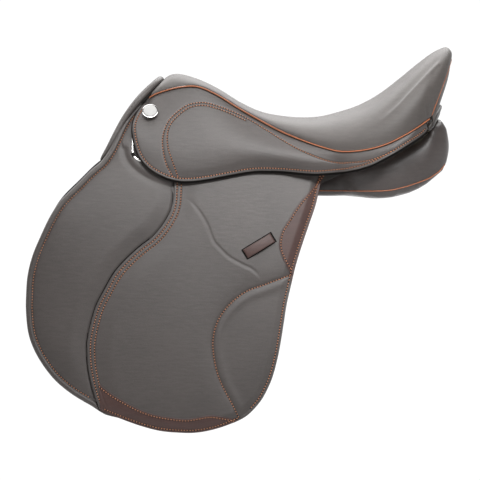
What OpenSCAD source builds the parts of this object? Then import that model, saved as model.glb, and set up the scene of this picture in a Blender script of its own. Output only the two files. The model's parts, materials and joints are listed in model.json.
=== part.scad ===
// English jumping saddle: forward-cut flaps, lifting skirts, flocked panels and a spring tree.
// Row frame: +X towards the cantle, +Y to the off (right) side, +Z up, millimetres.
// The origin is on the centre plane, level with the lowest line of the panels.
// Side pieces are drawn on the off side and mirrored for the near side.

/* [Leather] */
// Thickness of the skirts
skirt_t = 3.5; // [3:0.25:4]
// Radius of the round welt between seat and skirt
welt_r = 2; // [1.5:0.25:2.2]
// Radius of the piping round the panels
piping_r = 1.75; // [1.25:0.25:2]
// Height of the padding in front of the flap seam
knee_pad_rise = 3; // [0:0.5:4]

/* [Girth billets] */
// Width of each billet
billet_w = 25; // [22:1:26]
// Thickness of each billet
billet_t = 3.5; // [3:0.25:3.5]
// Length of each billet below its web
billet_l = 305; // [280:5:310]
// Radius of a punched hole
hole_r = 2.5; // [2:0.25:3]
// Number of punched holes
holes = 8; // [4:1:9]

/* [Stirrup bar] */
// Length of the straight bar
bar_l = 74; // [66:1:76]
// Radius of the bar
bar_r = 3.2; // [2.8:0.1:3.2]

/* [Fineness] */
// Steps along a sheet of leather
sheet_m = 20; // [14:2:26]
// Steps across a sheet of leather
sheet_n = 8; // [4:1:10]

/* [Hidden] */

grey = [0.27, 0.25, 0.24];
dark = [0.2, 0.19, 0.18];
brown = [0.3, 0.19, 0.16];
rust = [0.72, 0.36, 0.2];
steel = [0.75, 0.76, 0.78];
wood = [0.72, 0.55, 0.36];
canvas = [0.82, 0.78, 0.68];
foam = [0.9, 0.86, 0.72];

// Gap kept between two layers of one body
layer_gap = 0.3;
// Half the gap left at a fold, so that the leather can turn there
fold_gap = 2.5;

// ---- curves ----
function mix(a, b, t) = a + (b - a) * t;
function smooth(a, b, x) = let (t = max(0, min(1, (x - a) / (b - a)))) t * t * (3 - 2 * t);
function unit(v) = v / norm(v);
function catmull(p, q, r, s, t) = 0.5 * (2 * q + (r - p) * t
    + (2 * p - 5 * q + 4 * r - s) * t * t + (3 * q - p - 3 * r + s) * t * t * t);
// A smooth curve through the points p, with n steps between each two
function spline(p, n) = let (e = len(p) - 1) concat(
    [for (i = [0:e - 1]) for (k = [0:n - 1])
        catmull(p[max(0, i - 1)], p[i], p[i + 1], p[min(e, i + 2)], k / n)], [p[e]]);
// The same through a closed ring of points
function ring_spline(p, n) = let (e = len(p)) [for (i = [0:e - 1]) for (k = [0:n - 1])
    catmull(p[(i + e - 1) % e], p[i], p[(i + 1) % e], p[(i + 2) % e], k / n)];
function steps(p) = [for (i = 0, s = 0; i < len(p);
    s = s + (i + 1 < len(p) ? norm(p[i + 1] - p[i]) : 0), i = i + 1) s];
// m + 1 points spread evenly along a smooth curve through p
function evenly(p, m) = let (q = spline(p, 4), c = steps(q), total = c[len(c) - 1]) [
    for (i = [0:m]) [for (k = [0:len(p[0]) - 1])
        lookup(total * i / m, [for (a = [0:len(q) - 1]) [c[a], q[a][k]]])]];
function mean(ring) = [for (c = [0:2]) [for (p = ring) 1] * [for (p = ring) p[c]] / len(ring)];

// ---- closed meshes ----
function strip_faces(a, b, k) = [for (j = [0:k - 2]) each [[a + j, b + j, b + j + 1], [a + j, b + j + 1, a + j + 1]]];
function tube_faces(a, b, k) = [for (j = [0:k - 1]) let (n = (j + 1) % k)
    each [[a + j, b + j, b + n], [a + j, b + n, a + n]]];
// A sheet between two grids of the same shape
module slab(outer, inner) {
    m = len(outer) - 1;
    w = len(outer[0]);
    base = (m + 1) * w;
    front = [for (i = [0:m - 1]) each strip_faces(i * w, (i + 1) * w, w)];
    rim = concat([for (j = [0:w - 1]) j], [for (i = [1:m]) i * w + w - 1],
        [for (j = [w - 2:-1:0]) m * w + j], [for (i = [m - 1:-1:1]) i * w]);
    edge = [for (e = [0:len(rim) - 1]) let (a = rim[e], b = rim[(e + 1) % len(rim)])
        each [[a, b, base + b], [a, base + b, base + a]]];
    polyhedron(points = concat([for (r = outer) each r], [for (r = inner) each r]),
        faces = concat(front, [for (f = front) [base + f[0], base + f[2], base + f[1]]], edge));
}
// A solid through rings of points, closed at both ends
module loft(rings) {
    k = len(rings[0]);
    e = len(rings) - 1;
    polyhedron(points = concat([for (r = rings) each r], [mean(rings[0]), mean(rings[e])]),
        faces = concat([for (i = [0:e - 1]) each tube_faces(i * k, (i + 1) * k, k)],
            [for (j = [0:k - 1]) [(e + 1) * k, j, (j + 1) % k]],
            [for (j = [0:k - 1]) [(e + 1) * k + 1, e * k + (j + 1) % k, e * k + j]]));
}
// A round cord of radius r along a path
module cord(path, r, sides = 8) {
    e = len(path) - 1;
    loft([for (i = [0:e]) let (t = unit(path[min(e, i + 1)] - path[max(0, i - 1)]),
        side = unit(cross(t, abs(t[1]) > 0.8 ? [1, 0, 0] : [0, 1, 0])), up = cross(side, t))
        [for (j = [0:sides - 1]) path[i] + r * (cos(-360 * j / sides) * side + sin(-360 * j / sides) * up)]]);
}
module both() {
    children();
    mirror([0, 1, 0]) children();
}
module near() {
    mirror([0, 1, 0]) children();
}

// ---- the side of the saddle ----
// Distance of the flap's outer face from the centre plane
function flap_y(x, z) = let (d = 35 - z, top = max(0, z - 60), fore = min(0, x + 150))
    98 + 0.36 * d - 0.00018 * d * d - 0.0015 * top * top - 0.0003 * fore * fore * smooth(15, -180, z);
// A grid of [x, z] between two curves
function grid(a, b, m, n) = let (p = evenly(a, m), q = evenly(b, m))
    [for (i = [0:m]) [for (j = [0:n]) mix(p[i], q[i], j / n)]];
// The grid laid on the side, d outside the flap's face
function laid(g, d) = [for (row = g) [for (p = row) [p[0], flap_y(p[0], p[1]) + d, p[1]]]];
module layer(a, b, out, in, m = sheet_m, n = sheet_n) {
    g = grid(a, b, m, n);
    slab(laid(g, in), laid(g, out));
}

// ---- the seat ----
// Stations from pommel to cantle: top line x, z, then the edge x, y, z
seat = [[-182, 175.5, -209, 51, 147], [-174, 180, -196, 53, 154.5], [-162, 181, -180, 54.5, 160],
    [-145, 177, -158, 56, 165], [-125, 169.5, -134, 58, 165], [-101, 157, -107, 62, 153.5],
    [-72, 139, -75, 67.5, 134], [-43, 126, -43, 76, 116], [-14, 120, -12, 87, 100],
    [15, 117.5, 18, 100, 88], [43, 119, 45, 112, 79], [72, 126, 70, 122, 73],
    [101, 136, 94, 130, 73.5], [130, 152, 118, 135, 77.5], [159, 174, 140, 136, 84.5],
    [182, 193, 160, 133, 94], [203, 209, 177, 126, 103.5], [217, 217, 189, 117, 111],
    [228, 220, 197, 109, 116.5], [235, 213, 202, 103, 120], [235, 203, 204, 100, 122]];
seat_end = len(seat) - 1;
function station(s) = let (i = min(seat_end - 1, floor(s)))
    catmull(seat[max(0, i - 1)], seat[i], seat[i + 1], seat[min(seat_end, i + 2)], s - i);
// How far the seat's back leans the depth direction from down to forwards
function lean(s) = 90 * smooth(16, 20, s);
// Point of the seat: s along, v across (-1 to 1), d below the surface
function seat_point(s, v, d) = let (c = station(s), k = lean(s), rise = pow(cos(90 * v), 0.9),
    side = sign(v) * pow(abs(sin(90 * v)), 0.75),
    xc = c[0] - d * sin(k), zc = c[1] - d * cos(k), xe = c[2] - d * 0.6 * sin(k), ye = c[3] - d * (1 - 0.2 * sin(k)))
    [mix(xe, xc, rise), ye * side, mix(c[4], zc, rise)];
function seat_grid(s0, s1, v0, v1, d, m, n) = [for (i = [0:m]) [for (j = [0:n])
    seat_point(mix(s0, s1, i / m), mix(v0, v1, j / n), d)]];
module seat_layer(s0, s1, v0, v1, d0, d1, m, n) {
    slab(seat_grid(s0, s1, v0, v1, d1, m, n), seat_grid(s0, s1, v0, v1, d0, m, n));
}
cover_t = 2.5;
foam_top = cover_t + 1.2;
foam_under = 12.4;
tree_top = foam_under + 1.4;
rail_t = 11;
rail_drop = 1.8;

module seat_cover() {
    color(grey) seat_layer(0, seat_end, -1, 1, 0, cover_t, 30, 20);
}
module seat_foam() {
    color(foam) seat_layer(0.3, seat_end - 0.2, -0.96, 0.96, foam_top, foam_under, 24, 14);
}
module seat_webs() {
    color(canvas) both() seat_layer(3.4, 16, 0.12, 0.34, tree_top + 1.2, tree_top + 3.2, 14, 2);
}
// Point of a rail, d below its top; towards the head the rail hangs straighter down
function rail_point(s, v, d) = let (q = smooth(9, 5, s))
    seat_point(s, v, tree_top + d * (1 - q)) + q * (d + rail_drop) * [0, -0.3, -0.9];
module rail_layer(s0, s1, v0, v1, d0, d1, m, n) {
    slab([for (i = [0:m]) [for (j = [0:n]) rail_point(mix(s0, s1, i / m), mix(v0, v1, j / n), d1)]],
        [for (i = [0:m]) [for (j = [0:n]) rail_point(mix(s0, s1, i / m), mix(v0, v1, j / n), d0)]]);
}
module tree_rails() {
    color(wood) both() rail_layer(3.4, 14, 0.46, 0.86, 0, rail_t, 18, 4);
}
module spring_steels() {
    color(steel) both() rail_layer(3.6, 13.6, 0.54, 0.76, rail_t + 2 * layer_gap, rail_t + 3.2, 18, 2);
}
// Point of the cantle bow, d below its top
function bow_point(s, v, d) = let (rise = pow(cos(90 * v), 0.9), side = sign(v) * pow(abs(sin(90 * v)), 0.75))
    seat_point(s, v, tree_top) + d * [0.8 * (rise - 1), -0.8 * side, -0.9 * rise];
function bow_grid(d) = [for (i = [0:8]) [for (j = [0:16])
    bow_point(mix(16.2, 18.4, i / 8), mix(-0.84, 0.84, j / 16), d)]];
module tree_cantle() {
    color(wood) slab(bow_grid(9), bow_grid(0.8));
    color(wood) both() seat_layer(14.1, 16.05, 0.46, 0.86, tree_top, tree_top + 10, 4, 4);
}
module seat_welt() {
    color(rust) both() cord([for (i = [0:36]) let (c = station(mix(0, 19, i / 36)))
        [c[2], c[3] + 0.5, c[4] - 2 * layer_gap - welt_r]], welt_r, 6);
}

// ---- the cantle's back ----
band_bend = 100;
function back_bottom(y) = let (k = y / band_bend) [mix(214, 205, k * k), y, mix(139, 118, k * k)];
module cantle_back_panel() {
    arch = [for (j = [0:16]) seat_point(seat_end, mix(-0.98, 0.98, j / 16), cover_t + layer_gap)];
    rows = 6;
    function back(j, t, x) = let (p = arch[j], q = back_bottom(p[1]))
        [mix(p[0], q[0], t) + 4 * sin(180 * t) * (1 - pow(p[1] / band_bend, 2)) + x, p[1],
            mix(p[2] - layer_gap, q[2], t)];
    color(grey) slab([for (j = [0:16]) [for (i = [0:rows]) back(j, i / rows, 2.5)]],
        [for (j = [0:16]) [for (i = [0:rows]) back(j, i / rows, 0)]]);
}
band_path = [[195, 103.5, 96], [203, 98.5, 106], [209, 88, 117], [214, 62, 126], [217, 32, 130], [218, 0, 132]];
module cantle_band() {
    color(brown) cord(spline(concat(band_path, [for (i = [4:-1:0]) let (p = band_path[i])
        [p[0], -p[1], p[2]]]), 3), 3.5);
}
roll_path = [[-229, 61, 131], [-219, 55, 144], [-207, 47, 157], [-197, 35, 166], [-191, 19, 171], [-189, 0, 172]];
module pommel_roll() {
    color(grey) cord(spline(concat(roll_path, [for (i = [4:-1:0]) let (p = roll_path[i])
        [p[0], -p[1], p[2]]]), 3), 3.5);
}

// ---- the tree's arch ----
arch_half = [[-172, 0, 151], [-176, 22, 148], [-186, 36, 138], [-194, 45, 122], [-199, 57, 100],
    [-200, 68, 80], [-200, 76.5, 60], [-200, 83.5, 40], [-200, 90, 20]];
arch = concat([for (i = [8:-1:1]) let (p = arch_half[i]) [p[0], -p[1], p[2]]], arch_half);
arch_t = 9;
plate_t = 2.2;
// Rings round part of the arch: reach along X, and from off0 to off1 outside its middle line
module arch_part(i0, i1, reach, off0, off1) {
    p = spline([for (i = [i0:i1]) arch[i]], 2);
    e = len(p) - 1;
    loft([for (i = [0:e]) let (t = p[min(e, i + 1)] - p[max(0, i - 1)], n = unit([0, -t[2], t[1]]))
        [p[i] + [reach, 0, 0] + off1 * n, p[i] + [-reach, 0, 0] + off1 * n,
            p[i] + [-reach, 0, 0] + off0 * n, p[i] + [reach, 0, 0] + off0 * n]]);
}
module tree_head() {
    color(wood) arch_part(0, 16, 17, -arch_t / 2, arch_t / 2);
}
module head_plate() {
    color(steel) arch_part(4, 12, 12, arch_t / 2 + layer_gap, arch_t / 2 + layer_gap + plate_t);
}
module gullet_plate() {
    color(steel) arch_part(5, 11, 12, -arch_t / 2 - layer_gap - plate_t, -arch_t / 2 - layer_gap);
}
rivet_r = 2.5;
module tree_rivets() {
    p = arch_half[3];
    t = arch_half[4] - arch_half[2];
    lean_out = atan2(t[1], -t[2]);
    color(steel) both() for (dx = [-7, 7]) translate([p[0] + dx, p[1], p[2]]) rotate([lean_out, 0, 0])
        rotate([-90, 0, 0]) {
            translate([0, 0, -8]) cylinder(r = rivet_r, h = 16, $fn = 24);
            translate([0, 0, 7.2]) cylinder(r = 4, h = 1, $fn = 24);
            translate([0, 0, -8.2]) cylinder(r = 4, h = 1, $fn = 24);
        }
}

// ---- panels ----
// Stations: x, lowest z, highest z, inner y, outer y low, outer y high
panel = [[-232, 38, 70, 38, 58, 50], [-226, 20, 82, 32, 68, 49], [-210, 6, 92, 28, 78, 47],
    [-180, 1, 96, 27, 82, 46], [-140, 0, 90, 27, 82, 48], [-100, 0, 82, 27, 82, 52],
    [-50, 0, 75, 28, 82, 56], [0, 0, 69, 28, 82, 59], [40, 1.5, 65, 28, 82, 62],
    [60, 1, 61, 28, 84, 68], [80, 0.5, 59, 28, 92, 80], [100, 0, 60, 28, 108, 96],
    [130, 1, 66, 28, 117, 108], [159, 6, 76, 28, 113, 104], [188, 16, 90, 28, 98, 90],
    [203, 25, 104, 28, 88, 80], [213, 33, 112, 30, 78, 70], [220, 40, 110, 33, 70, 62],
    [226, 51, 102, 36, 62, 56], [230, 62, 90, 40, 54, 50], [231, 71, 80, 43, 50, 47]];
function panel_ring(p) = let (h = p[2] - p[1], low = p[4], high = p[5], inner = p[3])
    [for (q = ring_spline([[inner, p[1] + 0.32 * h], [mix(inner, low, 0.5), p[1] + 0.08 * h],
        [low - 5, p[1]], [low, p[1] + 0.16 * h], [mix(low, high, 0.5) + 2, p[1] + 0.52 * h],
        [high, p[2] - 0.1 * h], [mix(inner, high, 0.5), p[2]], [inner + 3, p[2] - 0.06 * h],
        [inner - 2, p[1] + 0.62 * h]], 2)) [p[0], q[0], q[1]]];
module right_panel() {
    color(dark) loft([for (i = [0:len(panel) - 1]) each concat([panel_ring(panel[i])],
        i > 2 && i < 14 ? [panel_ring(mix(panel[i], panel[i + 1], 0.5))] : [])]);
}
module left_panel() {
    color(dark) near() right_panel();
}
module panel_piping() {
    path = [for (i = [8:19]) let (p = panel[i], h = p[2] - p[1])
        [p[0] + (i > 16 ? 1.5 : 0), p[4] + piping_r + 1 + (i > 16 ? 1.5 : 0), p[1] + 0.17 * h]];
    color(rust) both() cord(spline(path, 2), piping_r, 6);
}

// ---- under the flap ----
sweat_out = -19;
sweat_t = 3;
sweat_front = [[-226, 92], [-240, 82], [-263, 60], [-288, 38], [-316, 14], [-342, -20], [-366, -76],
    [-375, -138], [-371, -190], [-350, -236], [-318, -266], [-270, -290], [-200, -312]];
sweat_rear = [[-120, 82], [-60, 70], [0, 54], [40, 34], [40, 10], [20, -22], [-8, -80], [-22, -150],
    [-32, -215], [-46, -262], [-66, -292], [-96, -308], [-130, -315]];
module right_sweat_flap() {
    color(dark) layer(sweat_front, sweat_rear, sweat_out, sweat_out - sweat_t);
}
module left_sweat_flap() {
    near() right_sweat_flap();
}
block_out = -6.5;
// A cushion along a path of [x, z, half width], lying on the sweat flap
module cushion(path) {
    p = spline(path, 3);
    e = len(p) - 1;
    loft([for (i = [0:e]) let (t = p[min(e, i + 1)] - p[max(0, i - 1)], n = unit([-t[1], t[0]]),
        w = p[i][2], full = smooth(0, 8, w))
        [for (q = [[-1, 0], [-0.85, 0.65], [-0.4, 1], [0.4, 1], [0.85, 0.65], [1, 0]])
            let (x = p[i][0] + n[0] * w * q[0], z = p[i][1] + n[1] * w * q[0])
            [x, flap_y(x, z) + mix(sweat_out + layer_gap, block_out, q[1] * full), z]]]);
}
module right_knee_block() {
    color(dark) cushion([[-296, 2, 3], [-306, -14, 14], [-324, -50, 20], [-338, -95, 21],
        [-344, -140, 20], [-342, -175, 16], [-338, -200, 8], [-336, -208, 3]]);
}
module left_knee_block() {
    near() right_knee_block();
}
module right_thigh_block() {
    color(dark) cushion([[-22, -52, 2], [-24, -62, 8], [-28, -90, 11], [-31, -125, 12],
        [-34, -160, 11], [-38, -185, 8], [-41, -196, 2]]);
}
module left_thigh_block() {
    near() right_thigh_block();
}

// ---- billets ----
billet_top = [90, 30];
billet_lean = 16.7;
billet_x = [-150, -112, -74];
module on_billet(i) {
    translate([billet_x[i], billet_top[0], billet_top[1]]) rotate([billet_lean, 0, 0]) children();
}
module billet(i) {
    color(brown) on_billet(i) difference() {
        union() {
            translate([-billet_w / 2, -billet_t / 2, -billet_l]) cube([billet_w, billet_t, billet_l - fold_gap]);
            translate([0, billet_t / 2, -billet_l]) rotate([90, 0, 0]) cylinder(d = billet_w, h = billet_t, $fn = 48);
        }
        for (k = [0:holes - 1]) translate([0, billet_t, -billet_l + 5 + 22 * k]) rotate([90, 0, 0])
            cylinder(r = hole_r, h = 2 * billet_t, $fn = 32);
    }
}
module right_front_billet() {
    billet(0);
}
module right_middle_billet() {
    billet(1);
}
module right_rear_billet() {
    billet(2);
}
module left_front_billet() {
    near() billet(0);
}
module left_middle_billet() {
    near() billet(1);
}
module left_rear_billet() {
    near() billet(2);
}
guard_t = 2.5;
// Gap left between the guard and the loops sewn to it
loop_seam = 0.05;
guard_w = 112;
guard_h = 96;
guard_drop = 26;
module right_buckle_guard() {
    face = billet_t / 2 + 0.6;
    loop_w = billet_w + 0.8;
    color(dark) on_billet(1) {
        translate([-guard_w / 2, face, -guard_drop - guard_h]) cube([guard_w, guard_t, guard_h]);
        for (z = [30, 66]) translate([0, 0, -guard_drop - z]) {
            for (s = [-1, 1]) translate([s * (loop_w / 2 + 0.75) - 0.75, -face, 0])
                cube([1.5, 2 * face - loop_seam, 14]);
            translate([-loop_w / 2 - 1.5, -face - 1.5, 0]) cube([loop_w + 3, 1.5, 14]);
        }
    }
}
module left_buckle_guard() {
    near() right_buckle_guard();
}
web_t = 2;
module billet_webs() {
    color(canvas) both() for (x = billet_x) {
        path = [[x, 47, 92], [x, 61, 88], [x, 74, 69], [x, 84, 48], [x, 89.3, 33]];
        p = spline(path, 2);
        rows = [for (i = [0:len(p) - 1]) let (t = unit(p[min(len(p) - 1, i + 1)] - p[max(0, i - 1)]),
            n = [0, -t[2], t[1]]) [for (s = [-1, 1]) [for (w = [-11, 11]) p[i] + [w, 0, 0] + s * web_t / 2 * n]]];
        slab([for (r = rows) r[0]], [for (r = rows) r[1]]);
    }
}

// ---- stirrup bar ----
bar_lean = 25;
bar_at = [-168, 69.9, 90];
bar_out = 14;
bar_drop = 12;
module on_bar() {
    translate(bar_at) rotate([bar_lean, 0, 0]) children();
}
module right_stirrup_bar() {
    color(steel) on_bar() {
        translate([-46, -1.4, -7]) cube([76, 2.8, 13]);
        translate([-6, -1.4, -bar_drop - 5]) cube([9, 2.8, 11]);
        translate([-6, -1.4, -bar_drop - bar_r]) cube([9, bar_out + 1.4, 2 * bar_r]);
        translate([-6, bar_out, -bar_drop]) rotate([0, 90, 0]) cylinder(r = bar_r, h = bar_l, $fn = 32);
        translate([bar_l - 7, bar_out - 1.2, -bar_drop - 2.5]) cube([12, 2.4, 5]);
        translate([bar_l + 3, bar_out + 2.9, -bar_drop]) rotate([90, 0, 0]) cylinder(r = 1.4, h = 5.8, $fn = 24);
    }
}
module left_stirrup_bar() {
    near() right_stirrup_bar();
}
module right_bar_catch() {
    color(steel) on_bar() translate([bar_l + 3, bar_out, -bar_drop]) difference() {
        union() for (s = [-1, 1]) {
            translate([0, s * 2.1 + 0.6, 0]) rotate([90, 0, 0]) cylinder(r = 3.2, h = 1.2, $fn = 32);
            translate([0, s * 2.1 - 0.6, -2]) cube([9, 1.2, 4]);
            translate([6, -2.7, -2.5]) cube([7, 5.4, 5]);
        }
        translate([0, 6, 0]) rotate([90, 0, 0]) cylinder(r = 1.45, h = 12, $fn = 32);
    }
}
module left_bar_catch() {
    near() right_bar_catch();
}
module bar_rivets() {
    color(steel) both() on_bar() for (x = [-38, -26]) translate([x, 1.8, -1]) rotate([90, 0, 0]) {
        cylinder(r = 2, h = 9.2, $fn = 24);
        cylinder(r = 3.4, h = 0.4, $fn = 24);
    }
}

// ---- flap ----
flap_t = 3;
fold_z = 24;
flap_front = [[-309, fold_z - fold_gap], [-333, 0], [-348, -22], [-362, -51], [-374, -80], [-381, -109],
    [-383, -138], [-383, -160], [-380, -188], [-373, -210], [-361, -232], [-345, -253], [-329, -268],
    [-310, -283], [-288, -296], [-271, -305], [-246, -315], [-216, -326], [-188, -333], [-160, -336]];
flap_rear = [[43, fold_z - fold_gap], [36, -7], [26, -36], [16, -65], [7, -94], [0, -123], [-6, -149],
    [-10, -174], [-14, -199], [-19, -225], [-26, -251], [-33, -268], [-43, -286], [-58, -303],
    [-72, -315], [-94, -325], [-116, -332], [-138, -336]];
flap_seam = [[-170, 16], [-170, -4], [-175, -20], [-186, -38], [-200, -54], [-217, -67], [-236, -84],
    [-254, -104], [-268, -128], [-280, -151], [-288, -177], [-293, -203], [-293, -225], [-291, -244],
    [-286, -267], [-281, -284]];
module right_flap() {
    color(grey) layer(flap_front, flap_rear, -1.2, -1.2 - flap_t);
}
module left_flap() {
    near() right_flap();
}
pad_front = [[-296, 16], [-325, -10], [-340, -32], [-354, -60], [-366, -88], [-373, -115], [-375, -138],
    [-374, -165], [-370, -190], [-362, -210], [-350, -231], [-335, -249], [-320, -262], [-303, -275], [-294, -281]];
module right_knee_pad() {
    g = grid(pad_front, flap_seam, 16, 6);
    color(grey) slab(laid(g, -0.9), [for (i = [0:16]) [for (j = [0:6]) let (p = g[i][j])
        [p[0], flap_y(p[0], p[1]) + 0.4 + knee_pad_rise * sin(180 * i / 16) * sin(180 * j / 6), p[1]]]]);
}
module left_knee_pad() {
    near() right_knee_pad();
}
cover_front = concat([for (p = flap_seam) p + [1.6, 0]], [[-270, -300], [-246, -311], [-216, -322], [-188, -329], [-160, -332]]);
cover_rear = concat([[38, 16]], [for (i = [1:len(flap_rear) - 1]) flap_rear[i] + [-3, i > 13 ? 3 : 0]]);
module right_flap_cover() {
    color(grey) layer(cover_front, cover_rear, 0.6, -0.9);
}
module left_flap_cover() {
    near() right_flap_cover();
}
module right_patches() {
    color(brown) {
        layer([[-276, -264], [-261, -275], [-239, -288], [-217, -299], [-196, -306], [-174, -310],
            [-152, -312], [-135, -310], [-116, -307], [-92, -309]], [[-272, -296], [-246, -308],
            [-216, -319], [-188, -327], [-160, -330], [-138, -330], [-116, -326], [-94, -319]], 1.8, 0.9, 12, 3);
        layer([[36, 12], [31, -7], [21, -36], [12, -65], [4, -90], [1, -101]], [[27, 14], [18, 2],
            [10, -10], [-4, -30], [-12, -43], [-16, -58], [-15, -72], [-9, -87], [-4, -98]], 1.8, 0.9, 10, 3);
    }
}
module left_patches() {
    near() right_patches();
}
keeper_mid = [-46, -65];
keeper_slope = 31;
keeper_l = 44;
keeper_w = 14;
module right_keeper() {
    axis = [cos(keeper_slope), sin(keeper_slope)];
    across = [-axis[1], axis[0]];
    rise = [0.9, 2.2, 3.6, 4.2, 4.4, 4.2, 3.6, 2.2, 0.9];
    function row(i, t) = let (u = keeper_l * (i / 8 - 0.5)) [for (w = [-0.5, 0, 0.5])
        let (p = keeper_mid + u * axis + w * keeper_w * across) [p[0], flap_y(p[0], p[1]) + rise[i] + t, p[1]]];
    color(brown) slab([for (i = [0:8]) row(i, 0)], [for (i = [0:8]) row(i, 2.2)]);
}
module left_keeper() {
    near() right_keeper();
}
head_top = [[-206, 138], [-190, 134], [-150, 130], [-100, 120], [-50, 98], [0, 74], [44, 55], [78, 43]];
head_low = [[-307, 27], [-200, 26.5], [-100, 26.5], [0, 26.5], [48, 27], [76, 40]];
head_front = [[-219, 143], [-232, 129], [-244, 112], [-257, 85], [-265, 70], [-275, 56], [-290, 43], [-307, 27]];
module right_flap_head() {
    fore = grid([[-219, 143], [-206, 138]], head_front, 7, 4);
    aft = grid(head_top, head_low, 18, 4);
    g = concat(fore, [for (i = [1:18]) aft[i]]);
    color(grey) difference() {
        slab(laid(g, -1 - flap_t), laid(g, -1));
        on_bar() translate([-8, -4, -bar_drop - bar_r - 1.5]) cube([13, 16, 2 * bar_r + 3]);
    }
}
module left_flap_head() {
    near() right_flap_head();
}

// ---- dee under the front of the skirt ----
dee_at = [-215, 81.6, 88];
dee_lean = 22;
dee_r = 14.5;
dee_wire = 1.9;
dee_leg = 19;
module on_dee() {
    translate(dee_at) rotate([dee_lean, 0, 0]) children();
}
module right_dee() {
    color(steel) on_dee() {
        translate([-dee_r, 0, 0]) rotate([0, 90, 0]) cylinder(r = dee_wire, h = 2 * dee_r, $fn = 24);
        for (s = [-1, 1]) translate([s * dee_r, 0, 0]) {
            sphere(r = dee_wire, $fn = 24);
            translate([0, 0, -dee_leg]) cylinder(r = dee_wire, h = dee_leg, $fn = 24);
        }
        translate([0, 0, -dee_leg]) rotate([90, 0, 0]) rotate([0, 0, 180])
            rotate_extrude(angle = 180, $fn = 48) translate([dee_r, 0]) circle(r = dee_wire, $fn = 24);
    }
}
module left_dee() {
    near() right_dee();
}
chape_w = 18;
module right_dee_chape() {
    color(dark) on_dee() difference() {
        union() {
            translate([-chape_w / 2, 0, 0]) rotate([0, 90, 0]) cylinder(r = 4.1, h = chape_w, $fn = 32);
            translate([-chape_w / 2, -4.1, 0]) cube([chape_w, 2.6, 30]);
        }
        translate([-chape_w, 0, 0]) rotate([0, 90, 0]) cylinder(r = dee_wire + 0.3, h = 2 * chape_w, $fn = 32);
    }
}
module left_dee_chape() {
    near() right_dee_chape();
}

// ---- skirt ----
// The line the skirt folds on, from the pommel to the waist
fold_a = [-229, 78, 116];
fold_b = [65, 123.6, 51];
tail_edge = [[65, 123.6, 46], [87, 129, 43], [116, 134, 51], [149, 135, 68], [174, 127, 83], [192, 114, 95], [199, 106, 104]];
skirt_edge = [[-230, 110], [-230, 94], [-226, 77], [-219, 61], [-206, 46], [-188, 35], [-167, 28], [-145, 27],
    [-120, 30], [-87, 36], [-65, 40], [-43, 42], [-10, 41], [33, 38], [65, 40]];
function skirt_edge_y(x, z) = flap_y(x, z) + 13 + 13 * smooth(-20, 65, x) - 3 * smooth(90, 110, z);
// A grid between two space curves, bulging outwards by b in the middle
function space_grid(p, q, n, b) = [for (i = [0:len(p) - 1]) [for (j = [0:n])
    mix(p[i], q[i], j / n) + [0, b * sin(180 * j / n), 0]]];
function thinner(g, t) = [for (row = g) [for (p = row) p - [0, t, 0]]];
module right_skirt() {
    top = [for (i = [0:sheet_m]) mix(fold_a, fold_b, i / sheet_m) + [0, 0.8, -fold_gap]];
    edge = [for (p = evenly(skirt_edge, sheet_m)) [p[0], skirt_edge_y(p[0], p[1]), p[1]]];
    g = space_grid(top, edge, 6, 3);
    color(grey) slab(thinner(g, skirt_t), g);
}
module left_skirt() {
    near() right_skirt();
}
module right_skirt_top() {
    m = sheet_m;
    top = [for (i = [0:m + 8]) let (c = station(mix(0, i > m ? 19.3 : 11.6, i > m ? 1 : i / m)),
        t = station(i > m ? mix(11.6, 19, (i - m) / 8) : mix(0, 11.6, i / m)))
        [t[2], t[3] + 0.8, t[4] - 3 * layer_gap - 2 * welt_r - 1]];
    edge = concat([for (i = [0:m]) mix(fold_a, fold_b, i / m) + [0, 0, fold_gap]],
        [for (p = evenly(tail_edge, 8)) p]);
    low = [for (i = [0:m + 8]) edge[i > m ? i + 1 : i]];
    g = space_grid(top, low, 4, 1.5);
    color(grey) slab(thinner(g, skirt_t), g);
}
module left_skirt_top() {
    near() right_skirt_top();
}
stud_r = 11.6;
stud_rise = 3;
module skirt_studs() {
    ball = (stud_r * stud_r + stud_rise * stud_rise) / (2 * stud_rise);
    color(steel) both() translate([-204, 75.5, 128]) rotate([-54, 0, 0]) intersection() {
        translate([0, 0, stud_rise - ball]) sphere(r = ball, $fn = 96);
        cylinder(r = stud_r, h = 2 * stud_rise, $fn = 96);
    }
}

tree_head();
tree_rails();
tree_cantle();
head_plate();
gullet_plate();
spring_steels();
tree_rivets();
seat_webs();
seat_foam();
seat_cover();
cantle_back_panel();
seat_welt();
cantle_band();
pommel_roll();
left_panel();
right_panel();
panel_piping();
left_sweat_flap();
right_sweat_flap();
left_knee_block();
right_knee_block();
left_thigh_block();
right_thigh_block();
left_stirrup_bar();
right_stirrup_bar();
bar_rivets();
left_bar_catch();
right_bar_catch();
left_flap_head();
right_flap_head();
left_flap();
right_flap();
left_knee_pad();
right_knee_pad();
left_flap_cover();
right_flap_cover();
left_patches();
right_patches();
left_keeper();
right_keeper();
left_dee_chape();
right_dee_chape();
left_dee();
right_dee();
left_skirt_top();
right_skirt_top();
left_skirt();
right_skirt();
skirt_studs();
left_front_billet();
left_middle_billet();
left_rear_billet();
right_front_billet();
right_middle_billet();
right_rear_billet();
left_buckle_guard();
right_buckle_guard();
billet_webs();
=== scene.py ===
import json
import math

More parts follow.
